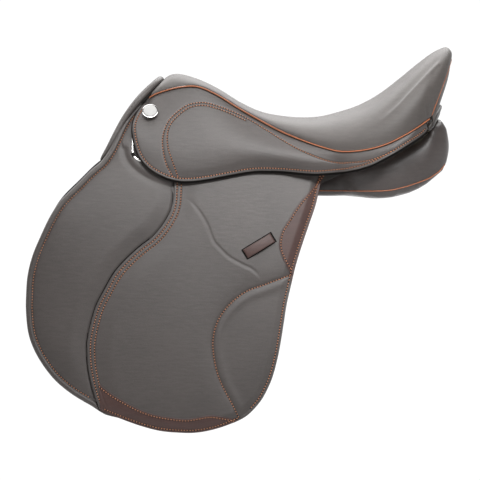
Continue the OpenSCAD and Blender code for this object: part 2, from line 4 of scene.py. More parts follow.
import bmesh
import bpy
import numpy as np
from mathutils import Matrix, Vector

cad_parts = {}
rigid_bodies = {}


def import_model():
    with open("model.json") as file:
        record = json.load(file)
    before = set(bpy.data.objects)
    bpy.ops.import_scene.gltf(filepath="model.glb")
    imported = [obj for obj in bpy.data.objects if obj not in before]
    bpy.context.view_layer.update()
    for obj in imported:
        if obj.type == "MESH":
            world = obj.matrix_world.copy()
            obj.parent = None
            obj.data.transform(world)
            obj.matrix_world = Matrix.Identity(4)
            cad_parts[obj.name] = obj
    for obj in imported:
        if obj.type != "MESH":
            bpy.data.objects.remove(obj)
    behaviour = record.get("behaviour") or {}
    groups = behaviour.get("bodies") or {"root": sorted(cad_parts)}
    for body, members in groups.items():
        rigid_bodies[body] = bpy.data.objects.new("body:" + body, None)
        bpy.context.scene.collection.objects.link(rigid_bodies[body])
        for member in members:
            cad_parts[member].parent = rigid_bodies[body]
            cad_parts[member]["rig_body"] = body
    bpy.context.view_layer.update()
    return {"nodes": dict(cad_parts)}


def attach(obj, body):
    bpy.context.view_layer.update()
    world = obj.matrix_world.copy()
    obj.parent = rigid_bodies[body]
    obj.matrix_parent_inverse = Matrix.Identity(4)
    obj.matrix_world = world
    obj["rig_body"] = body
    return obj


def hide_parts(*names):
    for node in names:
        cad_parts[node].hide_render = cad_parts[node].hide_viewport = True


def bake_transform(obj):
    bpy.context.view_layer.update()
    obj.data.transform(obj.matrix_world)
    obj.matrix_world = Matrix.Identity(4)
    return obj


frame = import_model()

MM = 0.001
SIDES = ((1, "right"), (-1, "left"))


# ---------- curves, in millimetres ----------
def spline(points, n=10):
    """A Catmull-Rom curve through the points, n steps between each two."""
    p = np.array(points, float)
    a = np.vstack([p[:1], p[:-2]])
    b, c = p[:-1], p[1:]
    d = np.vstack([p[2:], p[-1:]])
    t = (np.arange(n) / n)[None, :, None]
    a, b, c, d = (v[:, None, :] for v in (a, b, c, d))
    q = 0.5 * (2 * b + (c - a) * t + (2 * a - 5 * b + 4 * c - d) * t ** 2 + (3 * b - a - 3 * c + d) * t ** 3)
    return np.vstack([q.reshape(-1, p.shape[1]), p[-1:]])


def unit(v):
    return v / np.linalg.norm(v, axis=-1, keepdims=True)


def points_at(where, s, path):
    """Points of a path, read off by its running length s."""
    return np.stack([np.interp(where, s, path[:, k]) for k in range(path.shape[1])], -1)


def arc_length(q):
    return np.concatenate([[0], np.cumsum(np.linalg.norm(np.diff(q, axis=0), axis=1))])


def resample(q, m):
    """m + 1 points spread evenly along the polyline q."""
    s = arc_length(q)
    at = np.linspace(0, s[-1], m + 1)
    return points_at(at, s, q)


def smooth(a, b, x):
    t = np.clip((np.asarray(x, float) - a) / (b - a), 0, 1)
    return t * t * (3 - 2 * t)


def distance(xz, curve):
    """Signed distance of each [x, z] from a polyline (positive on its left), and how far along it is."""
    p = np.asarray(xz, float).reshape(-1, 2)
    a, b = curve[:-1], curve[1:]
    ab = b - a
    best = np.full(len(p), 1e9)
    sign = np.ones(len(p))
    along = np.zeros(len(p))
    s = arc_length(curve)
    for i in range(0, len(p), 4000):
        q = p[i:i + 4000, None, :]
        t = np.clip(((q - a) * ab).sum(2) / (ab ** 2).sum(1), 0, 1)
        off = q - (a + t[..., None] * ab)
        d = np.linalg.norm(off, axis=2)
        k = d.argmin(1)
        r = np.arange(len(k))
        best[i:i + 4000] = d[r, k]
        cross = ab[k, 0] * off[r, k, 1] - ab[k, 1] * off[r, k, 0]
        sign[i:i + 4000] = np.where(cross >= 0, 1, -1)
        along[i:i + 4000] = s[k] + t[r, k] * np.linalg.norm(ab[k], axis=1)
    shape = np.asarray(xz).shape[:-1]
    return (best * sign).reshape(shape), along.reshape(shape)


def bump(d, width):
    return np.exp(-(d / width) ** 2)


# ---------- the saddle's own surfaces ----------
def flap_y(x, z):
    x, z = np.asarray(x, float), np.asarray(z, float)
    d = 35 - z
    top = np.maximum(0, z - 60)
    fore = np.minimum(0, x + 150)
    return 98 + 0.36 * d - 0.00018 * d * d - 0.0015 * top * top - 0.0003 * fore * fore * smooth(15, -180, z)


SEAT = np.array([[-182, 175.5, -209, 51, 147], [-174, 180, -196, 53, 154.5], [-162, 181, -180, 54.5, 160],
    [-145, 177, -158, 56, 165], [-125, 169.5, -134, 58, 165], [-101, 157, -107, 62, 153.5],
    [-72, 139, -75, 67.5, 134], [-43, 126, -43, 76, 116], [-14, 120, -12, 87, 100],
    [15, 117.5, 18, 100, 88], [43, 119, 45, 112, 79], [72, 126, 70, 122, 73],
    [101, 136, 94, 130, 73.5], [130, 152, 118, 135, 77.5], [159, 174, 140, 136, 84.5],
    [182, 193, 160, 133, 94], [203, 209, 177, 126, 103.5], [217, 217, 189, 117, 111],
    [228, 220, 197, 109, 116.5], [235, 213, 202, 103, 120], [235, 203, 204, 100, 122]], float)
STATIONS = spline(SEAT, 40)


def station(s):
    at = np.linspace(0, len(SEAT) - 1, len(STATIONS))
    return np.stack([np.interp(s, at, STATIONS[:, k]) for k in range(5)], -1)


def seat_point(s, v, depth=0.0):
    """Point of the seat: s along it, v across from -1 to 1, depth under its surface."""
    s, v, depth = np.broadcast_arrays(np.asarray(s, float), v, depth)
    c = station(s)
    k = np.radians(90 * smooth(16, 20, s))
    rise = np.cos(np.radians(90 * v)).clip(0) ** 0.9
    side = np.sign(v) * np.abs(np.sin(np.radians(90 * v))) ** 0.75
    xc, zc = c[..., 0] - depth * np.sin(k), c[..., 1] - depth * np.cos(k)
    xe = c[..., 2] - depth * 0.6 * np.sin(k)
    ye = c[..., 3] - depth * (1 - 0.2 * np.sin(k))
    return np.stack([xe + (xc - xe) * rise, ye * side, c[..., 4] + (zc - c[..., 4]) * rise], -1)


WELT = STATIONS[:, [2, 3, 4]]
FOLD_A = np.array([-229.0, 78.8, 116.0])
FOLD_B = np.array([65.0, 124.4, 51.0])
SKIRT_EDGE = [[-214, 139.5], [-223, 127], [-230, 110], [-230, 94], [-226, 77], [-219, 61], [-206, 46], [-188, 35],
    [-167, 28], [-145, 27], [-120, 30], [-87, 36], [-65, 40], [-43, 42], [-10, 41], [33, 38], [65, 40],
    [87, 43], [116, 51], [149, 68], [174, 83], [192, 95], [199, 103], [197, 111]]
TAIL = np.array([[65, 123.6, 46], [87, 129, 43], [116, 134, 51], [149, 135, 68], [174, 127, 83],
    [192, 114, 95], [200, 105, 104]], float)


def skirt_y(x, z):
    """Outer face of the skirt, smoothed over the fold."""
    x, z = np.broadcast_arrays(np.asarray(x, float), z)
    low = spline(SKIRT_EDGE[3:], 8)
    low = low[low[:, 0].argsort()]
    welt = WELT[WELT[:, 0].argsort()]
    yw, zw = np.interp(x, welt[:, 0], welt[:, 1]) + 0.8, np.interp(x, welt[:, 0], welt[:, 2]) - 4
    k = (x - FOLD_A[0]) / (FOLD_B[0] - FOLD_A[0])
    yf, zf = FOLD_A[1] + k * (FOLD_B[1] - FOLD_A[1]), FOLD_A[2] + k * (FOLD_B[2] - FOLD_A[2])
    ze = np.interp(x, low[:, 0], low[:, 1])
    ye = flap_y(x, ze) + 12 + 13 * smooth(-20, 65, x)
    yt, zt = np.interp(x, TAIL[:, 0], TAIL[:, 1]), np.interp(x, TAIL[:, 0], TAIL[:, 2])
    yt = yt + 7 * smooth(60, 95, x) * smooth(195, 165, x)
    total = 0
    reach = np.clip(zw - z, 0.5, 14)
    shifts = np.linspace(-1, 1, 7)
    for step in shifts:
        zz = z + step * reach
        up = np.clip((zw - zz) / np.maximum(zw - zf, 1), -0.1, 1)
        dn = np.clip((zf - zz) / np.maximum(zf - ze, 8), 0, 1.15)
        fore = np.where(zz > zf, yw + (yf - yw) * up + 1.5 * np.sin(np.pi * up.clip(0, 1)),
            yf + (ye - yf) * dn + 3 * np.sin(np.pi * dn.clip(0, 1)))
        t = np.clip((zw - zz) / np.maximum(zw - zt, 4), -0.3, 1.3)
        aft = yw + (yt - yw) * t + 1.5 * np.sin(np.pi * t.clip(0, 1))
        total = total + fore + (aft - fore) * smooth(50, 80, x)
    return total / len(shifts)


# ---------- meshes ----------
def make(name, verts, faces, material, body=None, slot=None, smooth_angle=50, second=None):
    """A mesh object. second is (material, a flag for each face that takes it)."""
    mesh = bpy.data.meshes.new(name)
    mesh.from_pydata([tuple(v) for v in np.asarray(verts, float) * MM], [], faces)
    if second is not None:
        mesh.polygons.foreach_set("material_index", np.asarray(second[1]).astype(np.int32))
    bm = bmesh.new()
    bm.from_mesh(mesh)
    bmesh.ops.recalc_face_normals(bm, faces=bm.faces)
    bm.to_mesh(mesh)
    bm.free()
    mesh.materials.append(material)
    if second is not None:
        mesh.materials.append(second[0])
    mesh.shade_smooth()
    mesh.set_sharp_from_angle(angle=math.radians(smooth_angle))
    obj = bpy.data.objects.new(name, mesh)
    bpy.context.scene.collection.objects.link(obj)
    if body:
        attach(obj, body)
    return obj


def grid_faces(m, n, base=0, wrap=False):
    i = np.arange(m)[:, None]
    j = np.arange(n)[None, :]
    w = n if wrap else n + 1
    j1 = (j + 1) % w
    a, b, c, d = i * w + j, (i + 1) * w + j, (i + 1) * w + j1, i * w + j1
    return (np.stack([a, b, c, d], -1).reshape(-1, 4) + base).tolist()


def shell(name, outer, inner, material, keep=None, dark=None, **more):
    """A closed sheet between two grids of points of the same shape.
    keep masks out faces, for a slot. dark flags outer faces that take the near-black edge material: painted shade in
    gaps, and dyed edges."""
    m, w = outer.shape[0] - 1, outer.shape[1]
    base = (m + 1) * w
    top = np.array(grid_faces(m, w - 1))
    dye_and_shade = np.zeros(len(top), bool) if dark is None else dark.reshape(-1)
    if keep is not None:
        top, dye_and_shade = top[keep.reshape(-1)], dye_and_shade[keep.reshape(-1)]
    edges = np.stack([top, np.roll(top, -1, 1)], -1).reshape(-1, 2)
    key = np.sort(edges, 1)
    _, first, count = np.unique(key[:, 0] * base + key[:, 1], return_index=True, return_counts=True)
    rim = edges[first[count == 1]]
    around = np.stack([rim[:, 1], rim[:, 0], rim[:, 0] + base, rim[:, 1] + base], -1)
    faces = np.vstack([top, top[:, ::-1] + base, around])
    flags = np.concatenate([dye_and_shade, np.zeros(len(top), bool), np.ones(len(rim), bool)])
    return make(name, np.vstack([outer.reshape(-1, 3), inner.reshape(-1, 3)]), faces.tolist(), material,
        second=(DARK_DYE_AND_SHADE, flags), **more)


def loft(name, rings, material, **more):
    """A solid through rings of points, closed by a fan at each end."""
    rings = np.asarray(rings, float)
    m, k = rings.shape[0] - 1, rings.shape[1]
    verts = np.vstack([rings.reshape(-1, 3), rings[0].mean(0)[None], rings[-1].mean(0)[None]])
    faces = grid_faces(m, k, wrap=True)
    faces += [[(m + 1) * k, (j + 1) % k, j] for j in range(k)]
    faces += [[(m + 1) * k + 1, m * k + j, m * k + (j + 1) % k] for j in range(k)]
    return make(name, verts, faces, material, **more)


def tube_rings(path, wide, high, sides=14, up=None, taper=0.0):
    """Rings of an oval cord along a path; wide across, high along up."""
    path = np.asarray(path, float)
    t = np.gradient(path, axis=0)
    t = unit(t)
    ref = np.tile([0.0, 1.0, 0.0], (len(path), 1)) if up is None else np.broadcast_to(up, path.shape)
    across = np.cross(t, ref)
    across /= np.linalg.norm(across, axis=1)[:, None] + 1e-9
    rise = np.cross(across, t)
    s = arc_length(path)
    end = np.minimum(s, s[-1] - s)
    k = np.sqrt(np.clip(1 - (1 - np.clip(end / max(taper, 1e-6), 0, 1)) ** 2, 0.02, 1)) if taper else np.ones(len(s))
    a = np.linspace(0, 2 * np.pi, sides, endpoint=False)
    return path[:, None] + k[:, None, None] * (np.cos(a)[None, :, None] * across[:, None] * wide
        + np.sin(a)[None, :, None] * rise[:, None] * high)


def mirrored(points, side):
    return np.asarray(points, float) * np.array([1, side, 1])


def placed(x, y, z, side):
    return mirrored(np.stack([x, y, z], -1), side)


def normals_of(surface, xz, h=1.0):
    """Outward normal of a side surface y = surface(x, z)."""
    dx = (surface(xz[:, 0] + h, xz[:, 1]) - surface(xz[:, 0] - h, xz[:, 1])) / (2 * h)
    dz = (surface(xz[:, 0], xz[:, 1] + h) - surface(xz[:, 0], xz[:, 1] - h)) / (2 * h)
    n = np.stack([-dx, np.ones(len(xz)), -dz], 1)
    return unit(n)


class Stitches:
    """Thread stitches gathered into one mesh."""

    def __init__(self):
        self.verts, self.faces, self.dark = [], [], []

    def row(self, path, normal, pitch=4.1, length=2.1, wide=0.68, high=0.45, slant=8, lift=0.5):
        path = np.asarray(path, float)
        s = arc_length(path)
        self.channel(path, normal, s)
        count = max(2, int(s[-1] / pitch))
        at = (np.arange(count) + 0.5) * s[-1] / count
        mid = points_at(at, s, path)
        nor = unit(points_at(at, s, normal))
        t = unit(points_at(at + 0.8, s, path) - points_at(at - 0.8, s, path))
        across = np.cross(nor, t)
        a = math.radians(slant)
        t, across = t * math.cos(a) + across * math.sin(a), across * math.cos(a) - t * math.sin(a)
        along = np.array([-0.5, -0.38, 0.0, 0.38, 0.5]) * length
        fat = np.array([0.35, 0.9, 1.0, 0.9, 0.35])
        sink = np.array([-0.35, -0.05, 0.05, -0.05, -0.35])
        ang = np.linspace(0, 2 * np.pi, 6, endpoint=False)
        for i in range(count):
            base = len(self.verts)
            for u, f, d in zip(along, fat, sink):
                for g in ang:
                    self.verts.append(mid[i] + t[i] * u + across[i] * (wide * f * math.cos(g))
                        + nor[i] * (lift + d + high * f * math.sin(g)))
            self.faces += grid_faces(4, 6, base, wrap=True)
            self.faces.append([base + j for j in range(6)][::-1])
            self.faces.append([base + 24 + j for j in range(6)])
            self.dark += [0] * 26
            self.hole(mid[i] + t[i] * pitch / 2, nor[i], t[i], across[i], lift)

    def channel(self, path, normal, s):
        """The pressed line that the thread lies along, near-black: painted shade in the groove."""
        at = np.linspace(0, s[-1], max(2, int(s[-1] / 1.6)))
        line = points_at(at, s, path)
        nor = unit(points_at(at, s, normal))
        across = np.cross(nor, np.gradient(line, axis=0))
        across = unit(across)
        base = len(self.verts)
        for p, n, c in zip(line, nor, across):
            self.verts += [p + c * 1.1 - n * 0.8, p + c * 0.7 + n * 0.35, p - c * 0.7 + n * 0.35,
                p - c * 1.1 - n * 0.8]
        for i in range(len(line) - 1):
            a, b = base + 4 * i, base + 4 * (i + 1)
            self.faces += [[a + j, b + j, b + (j + 1) % 4, a + (j + 1) % 4] for j in range(4)]
        end = base + 4 * (len(line) - 1)
        self.faces += [[base, base + 1, base + 2, base + 3], [end + 3, end + 2, end + 1, end]]
        self.dark += [1] * (4 * (len(line) - 1) + 2)

    def hole(self, at_, nor, t, across, lift):
        """The needle hole at a stitch's end, a little cone pressed into the leather, near-black: painted shade in the
        hole.
        """
        base = len(self.verts)
        for r, d in ((0.95, 0.2), (0.5, 0.1)):
            for g in np.linspace(0, 2 * np.pi, 8, endpoint=False):
                self.verts.append(at_ + (t * 0.8 * math.cos(g) + across * math.sin(g)) * r + nor * (lift * 0.5 + d))
        self.verts += [at_ - nor * 0.5, at_ + nor * (lift * 0.5)]
        for j in range(8):
            n = (j + 1) % 8
            self.faces += [[base + j, base + n, base + 8 + n, base + 8 + j], [base + 8 + j, base + 8 + n, base + 17],
                [base + n, base + j, base + 16]]
        self.dark += [1] * 24

    def done(self, name, side, material, **more):
        verts = mirrored(self.verts, side)
        return make(name, verts, self.faces, material, slot="rust_piping", second=(DARK_DYE_AND_SHADE, self.dark), **more)


# ---------- materials ----------
def nodes_of(name):
    mat = bpy.data.materials.new(name)
    mat.use_nodes = True
    return mat, mat.node_tree, mat.node_tree.nodes["Principled BSDF"]


def feed(tree, node, inputs):
    """Give each named input of a node its value, or a link from another node's output."""
    for key, value in inputs.items():
        if isinstance(value, bpy.types.NodeSocket):
            tree.links.new(value, node.inputs[key])
        else:
            node.inputs[key].default_value = value


def put(tree, kind, output, inputs, **props):
    """A new shader node with its settings and inputs. Returns one of its outputs."""
    node = tree.nodes.new("ShaderNode" + kind)
    for key, value in props.items():
        setattr(node, key, value)
    feed(tree, node, inputs)
    return node.outputs[output]


def noise(tree, vector, scale, detail):
    return put(tree, "TexNoise", "Fac", {"Vector": vector, "Scale": scale, "Detail": detail})


def stretched(tree, scale):
    """Object coordinates, scaled apart along the axes."""
    where = put(tree, "TexCoord", "Object", {})
    return put(tree, "Mapping", "Vector", {"Vector": where, "Scale": scale})


def maths(tree, operation, *values):
    return put(tree, "Math", "Value", dict(enumerate(values)), operation=operation)


def in_range(tree, value, **limits):
    """The value mapped to a range; from_min is the input From Min, and so on."""
    named = {key.replace("_", " ").title(): number for key, number in limits.items()}
    return put(tree, "MapRange", "Result", {"Value": value, **named})


def ramp(tree, value, dark, pale, start=0.0, end=1.0):
    color = put(tree, "ValToRGB", "Color", {"Fac": value})
    first, last = color.node.color_ramp.elements
    first.position, last.position = start, end
    first.color, last.color = (*dark, 1), (*pale, 1)
    return color


def blended(tree, factor, a, b, blend_type="MIX"):
    return put(tree, "Mix", "Result", {"Factor": factor, "A": a, "B": b}, data_type="RGBA", blend_type=blend_type)


def bumped(tree, height, strength, distance_, over=None):
    inputs = {"Strength": strength, "Distance": distance_, "Height": height}
    return put(tree, "Bump", "Normal", inputs if over is None else {**inputs, "Normal": over})


def times(color, k):
    return [c * k for c in color]


def leather(name, color, worn, rough=0.5, grain=1.0, mottle=0.12, shine=0.5):
    """Finished leather: fine pebbled grain, creases, colour that drifts, and paler worn rises."""
    mat, tree, bsdf = nodes_of(name)
    where = put(tree, "TexCoord", "Object", {})
    streaks = noise(tree, stretched(tree, (0.4, 0.4, 1.7)), 170, 5)
    fine = noise(tree, where, 620, 3)
    cells = put(tree, "TexVoronoi", "Distance", {"Vector": where, "Scale": 760 / grain}, feature="DISTANCE_TO_EDGE")
    drift = maths(tree, "MULTIPLY", maths(tree, "ADD", noise(tree, where, 9, 5), streaks), 0.5)
    tint = ramp(tree, drift, times(color, 1 - mottle), times(color, 1 + mottle), 0.38, 0.62)
    pores = ramp(tree, cells, (0.72, 0.70, 0.68), (1, 1, 1), 0, 0.16)
    rises = in_range(tree, put(tree, "NewGeometry", "Pointiness", {}), from_min=0.52, from_max=0.62)
    grained = bumped(tree, maths(tree, "MULTIPLY_ADD", fine, 0.35, cells), 0.35, 0.00035 * grain)
    feed(tree, bsdf, {
        "Base Color": blended(tree, rises, blended(tree, 0.8, tint, pores, "MULTIPLY"), (*worn, 1)),
        "Roughness": in_range(tree, fine, to_min=rough - 0.07, to_max=rough + 0.09),
        "Normal": bumped(tree, streaks, 0.14, 0.0012, over=grained), "Specular IOR Level": shine})
    return mat


def metal(name, color, rough, streak=0.06, metallic=1.0):
    """Polished or brushed metal, or enamel, with fine streaks and dull spots."""
    mat, tree, bsdf = nodes_of(name)
    lines = noise(tree, stretched(tree, (60, 900, 900)), 3, 4)
    feed(tree, bsdf, {"Base Color": ramp(tree, lines, times(color, 0.86), color),
        "Roughness": in_range(tree, lines, to_min=max(0.02, rough - streak), to_max=rough + streak),
        "Normal": bumped(tree, lines, 0.05, 0.0001), "Metallic": metallic})
    return mat


def weave(name, color, scale=700, rough=0.9):
    """Woven webbing or thread: two crossed sets of ribs."""
    mat, tree, bsdf = nodes_of(name)
    where = put(tree, "TexCoord", "Object", {})
    ribs = [put(tree, "TexWave", "Fac", {"Vector": where, "Scale": scale / 6.28, "Distortion": 0.6},
        bands_direction=axis) for axis in ("X", "Z")]
    both = maths(tree, "MULTIPLY", *ribs)
    feed(tree, bsdf, {"Base Color": ramp(tree, both, times(color, 0.6), color), "Roughness": rough,
        "Normal": bumped(tree, both, 0.5, 0.0004)})
    return mat


def timber(name, color):
    """Bare wood, its grain running fore and aft."""
    mat, tree, bsdf = nodes_of(name)
    rings = noise(tree, stretched(tree, (8, 90, 90)), 2.5, 6)
    feed(tree, bsdf, {"Base Color": ramp(tree, rings, times(color, 0.62), color), "Roughness": 0.62})
    return mat


GREY = leather("grey leather", (0.051, 0.043, 0.040), (0.12, 0.11, 0.105), rough=0.46)
SEAT_GREY = leather("seat leather", (0.060, 0.052, 0.048), (0.12, 0.11, 0.105), rough=0.52, grain=0.8)
PANEL_GREY = leather("panel leather", (0.050, 0.042, 0.040), (0.09, 0.082, 0.076), rough=0.36, grain=0.6)
LINING = leather("lining leather", (0.040, 0.036, 0.034), (0.07, 0.06, 0.055), rough=0.62, grain=1.3)
BROWN = leather("brown leather", (0.054, 0.026, 0.022), (0.11, 0.062, 0.052), rough=0.48, grain=0.9, shine=0.4)
BAND = leather("band leather", (0.024, 0.020, 0.018), (0.07, 0.062, 0.058), rough=0.36, grain=0.7, shine=0.4)
# near-black: the dyed cut edges and other dark-dyed parts, and also painted shade laid in gaps, grooves and holes
DARK_DYE_AND_SHADE = leather("dark dye and painted shade", (0.009, 0.008, 0.0075), (0.03, 0.027, 0.025), rough=0.7, grain=1.2, shine=0.08)
PIPING = leather("rust piping", (0.30, 0.088, 0.032), (0.42, 0.16, 0.07), rough=0.45, grain=0.7, mottle=0.08)
THREAD = weave("rust thread", (0.60, 0.25, 0.13), scale=5000, rough=0.75)
WEBBING = weave("canvas webbing", (0.62, 0.56, 0.44))
STEEL = metal("brushed steel", (0.55, 0.55, 0.57), 0.3)
NICKEL = metal("polished nickel", (0.86, 0.85, 0.83), 0.12, streak=0.03)
ENAMEL = metal("pale enamel", (0.38, 0.375, 0.365), 0.5, streak=0.03, metallic=0.0)
WOOD = timber("laminated beech", (0.50, 0.33, 0.18))
FOAM = weave("seat foam", (0.72, 0.66, 0.46), scale=2500, rough=0.95)


def dress(node, material):
    """Give a CAD node its finish."""
    obj = frame["nodes"][node]
    for slot in obj.material_slots:
        slot.material = material
    if not obj.material_slots:
        obj.data.materials.append(material)


def at(points, u):
    """Points at shares u of the length of the smooth curve through points."""
    q = spline(points, 12)
    s = arc_length(q)
    return points_at(np.asarray(u) * s[-1], s, q)


def spread(n, fine):
    """Shares from 0 to 1 in n even steps, with closer ones near both ends."""
    ends = np.array([0, 0.12, 0.35, 0.7, 1.2]) * fine
    middle = np.linspace(0, 1, n + 1)
    middle = middle[(middle > 1.6 * fine) & (middle < 1 - 1.6 * fine)]
    return np.concatenate([ends, middle, 1 - ends[::-1]])


def between(a, b, u, v):
    p, q = at(a, u), at(b, u)
    return p[:, None] + (q - p)[:, None] * v[None, :, None]


def edge_drop(g, u, v, r):
    """How far the face falls away close to the rim, for an edge rounded to radius r."""
    wide = np.linalg.norm(g[:, -1] - g[:, 0], axis=-1)[:, None]
    long_ = np.linalg.norm(np.diff(g[:, 0], axis=0), axis=-1).sum()
    d = np.minimum(np.minimum(v, 1 - v)[None] * wide, np.minimum(u, 1 - u)[:, None] * long_)
    k = 1 - np.clip(d / r, 0, 1)
    return r * (1 - np.sqrt(1 - k * k))


def mid(q):
    """Middles of a grid's faces."""
    return (q[:-1, :-1] + q[1:, :-1] + q[:-1, 1:] + q[1:, 1:]) / 4


def side_sheet(name, side, a, b, outer, inner, material, m=200, n=120, r=0.7, slot_box=None, dark=None, **more):
    """A leather piece on the side of the saddle, between the [x, z] curves a and b.
    outer and inner give how far each face lies outside the flap's own face."""
    u, v = spread(m, 0.006), spread(n, 0.012)
    g = between(a, b, u, v)
    x, z = g[..., 0], g[..., 1]
    y = flap_y(x, z)
    lie = lambda f: f(x, z) if callable(f) else f
    top = y + lie(outer) - edge_drop(g, u, v, r)
    low = y + lie(inner) + 0 * x
    keep = None
    if slot_box:
        keep = ~((mid(x) > slot_box[0]) & (mid(x) < slot_box[1]) & (mid(z) > slot_box[2]) & (mid(z) < slot_box[3]))
    return shell(name, placed(x, top, z, side), placed(x, low, z, side),
        material, keep=keep, dark=None if dark is None else dark(mid(x), mid(z)), **more)


def groove(d, width, depth):
    return -depth * bump(d, width)


# ---------- the flap ----------
FRONT = [[-219, 143], [-232, 129], [-244, 112], [-257, 85], [-265, 70], [-275, 56], [-290, 43], [-309, 24],
    [-333, 0], [-348, -22], [-362, -51], [-374, -80], [-381, -109], [-383, -138], [-383, -160], [-380, -188],
    [-373, -210], [-361, -232], [-345, -253], [-329, -268], [-310, -281.5], [-288, -294], [-271, -302.5],
    [-246, -312], [-216, -322.5], [-188, -329.5], [-160, -332]]
REAR = [[43, 22], [36, -7], [26, -36], [16, -65], [7, -94], [0, -123], [-6, -149], [-10, -174], [-14, -199],
    [-19, -225], [-26, -251], [-33, -268], [-43, -286], [-58, -303], [-72, -313], [-94, -322], [-116, -328.5],
    [-138, -332]]
HEAD_TOP = [[-206, 138], [-190, 134], [-150, 130], [-100, 120], [-50, 98], [0, 74], [44, 55], [78, 43], [60, 31]]
SEAM = [[-168, 62], [-168, 35], [-169, 12], [-170, -4], [-175, -20], [-186, -38], [-200, -54], [-217, -67],
    [-236, -84], [-254, -104], [-268, -128], [-280, -151], [-288, -177], [-293, -203], [-293, -225],
    [-291, -244], [-286, -267], [-280, -287], [-272, -304]]
HALF_MOON = [[0, -107], [-22, -115], [-41, -122], [-61, -129], [-77, -139], [-93, -154], [-106, -174],
    [-112, -196], [-112, -217], [-107, -244], [-99, -265], [-84, -293], [-75, -311]]
S_RIDGE = [[-155, 1], [-143.5, -6], [-132, -20], [-122, -37], [-114, -58], [-106, -68], [-90, -83], [-72, -93],
    [-56, -101], [-41, -117]]
UNDER_SKIRT = [[-242, 72], [-238, 58], [-225, 43], [-203, 29], [-171, 17]]
LOW_PATCH = [[-277, -262], [-261, -275], [-239, -288], [-217, -299], [-196, -306], [-174, -310], [-152, -312],
    [-135, -310], [-116, -307], [-94, -310], [-77, -314]]
REAR_PATCH = [[46, 38], [28, 14], [10, -7], [-4, -29], [-13, -43], [-17, -58], [-16, -72], [-10, -87], [1, -106]]
SEAM_LINE, FRONT_LINE = spline(SEAM, 6), spline(FRONT, 6)
OUTLINE = spline(FRONT[22:] + REAR[::-1] + [[48, 40], [52, 60]], 6)
MOON_LINE, RIDGE_LINE, UNDER_LINE = spline(HALF_MOON, 6), spline(S_RIDGE, 6), spline(UNDER_SKIRT, 6)


def to_line(x, z, line):
    return distance(np.stack([x, z], -1), line)[0]


def knee_out(x, z):
    """Outer face of the padded front of the flap: a bead along the edge, a stitched groove, then padding."""
    d = np.abs(to_line(x, z, FRONT_LINE))
    e = np.abs(to_line(x, z, SEAM_LINE))
    bead = 0.2 + 2.6 * np.sin(np.pi * np.clip(d / 9, 0, 1)) ** 0.7
    full = 0.2 + 4.2 * (1 - np.exp(-np.clip(d - 9, 0, None) / 15)) * smooth(-4, 30, e)
    under = to_line(x, z, UNDER_LINE)
    return np.where(d < 9, bead, full) + groove(d - 9, 1.5, 0.8) + groove(e, 3.0, 1.9) \
        + groove(under, 5, 1.6) + 0.8 * bump(under - 9, 6)


def cover_out(x, z):
    """Outer face of the large rear piece of the flap, with its sewn channels and padding."""
    xz = np.stack([x, z], -1)
    s = np.abs(to_line(x, z, SEAM_LINE))
    o = np.abs(to_line(x, z, OUTLINE))
    moon = -to_line(x, z, MOON_LINE)
    ridge = -to_line(x, z, RIDGE_LINE)
    inside = np.clip(moon, 0, None)
    fade = smooth(3, 16, o)
    lie = 0.8 + 1.5 * smooth(11, 36, s) * fade
    lie = lie + groove(s - 4, 1.1, 0.5) + groove(s - 10, 1.1, 0.5) + groove(o - 4.5, 1.2, 0.45)
    lie = lie + fade * (2.6 * (1 - np.exp(-inside / 11)) * (moon > 0) + 0.9 * bump(moon + 8, 6))
    lie = lie + groove(moon, 1.9, 1.2)
    along = distance(xz, RIDGE_LINE)[1] / arc_length(RIDGE_LINE)[-1]
    shown = smooth(0, 0.2, along) * smooth(1, 0.8, along)
    step = smooth(-2.5, 2.5, ridge) * np.exp(-np.clip(ridge, 0, None) / 22)
    return lie + shown * (step - 0.7 * bump(ridge + 2, 1.8))


def patch_out(x, z):
    return cover_out(x, z) + 1.1


def on_side(outer):
    return lambda x, z: flap_y(x, z) + outer(x, z)


def inset(curve, by, lo=0.0, hi=1.0):
    """The curve moved by to its left, from share lo to share hi of its length."""
    q = spline(curve, 12)
    q = resample(q, int(arc_length(q)[-1]))
    q = q[int(lo * (len(q) - 1)):int(hi * (len(q) - 1)) + 1]
    t = np.gradient(q, axis=0)
    t = unit(t)
    if callable(by):
        by = by(np.linspace(lo, hi, len(q)))[:, None]
    return q + by * np.stack([-t[:, 1], t[:, 0]], 1)


def sew(stitches, xz, surface, lift=0.05, **more):
    path = np.stack([xz[:, 0], surface(xz[:, 0], xz[:, 1]) + lift, xz[:, 1]], 1)
    stitches.row(path, normals_of(surface, xz), **more)


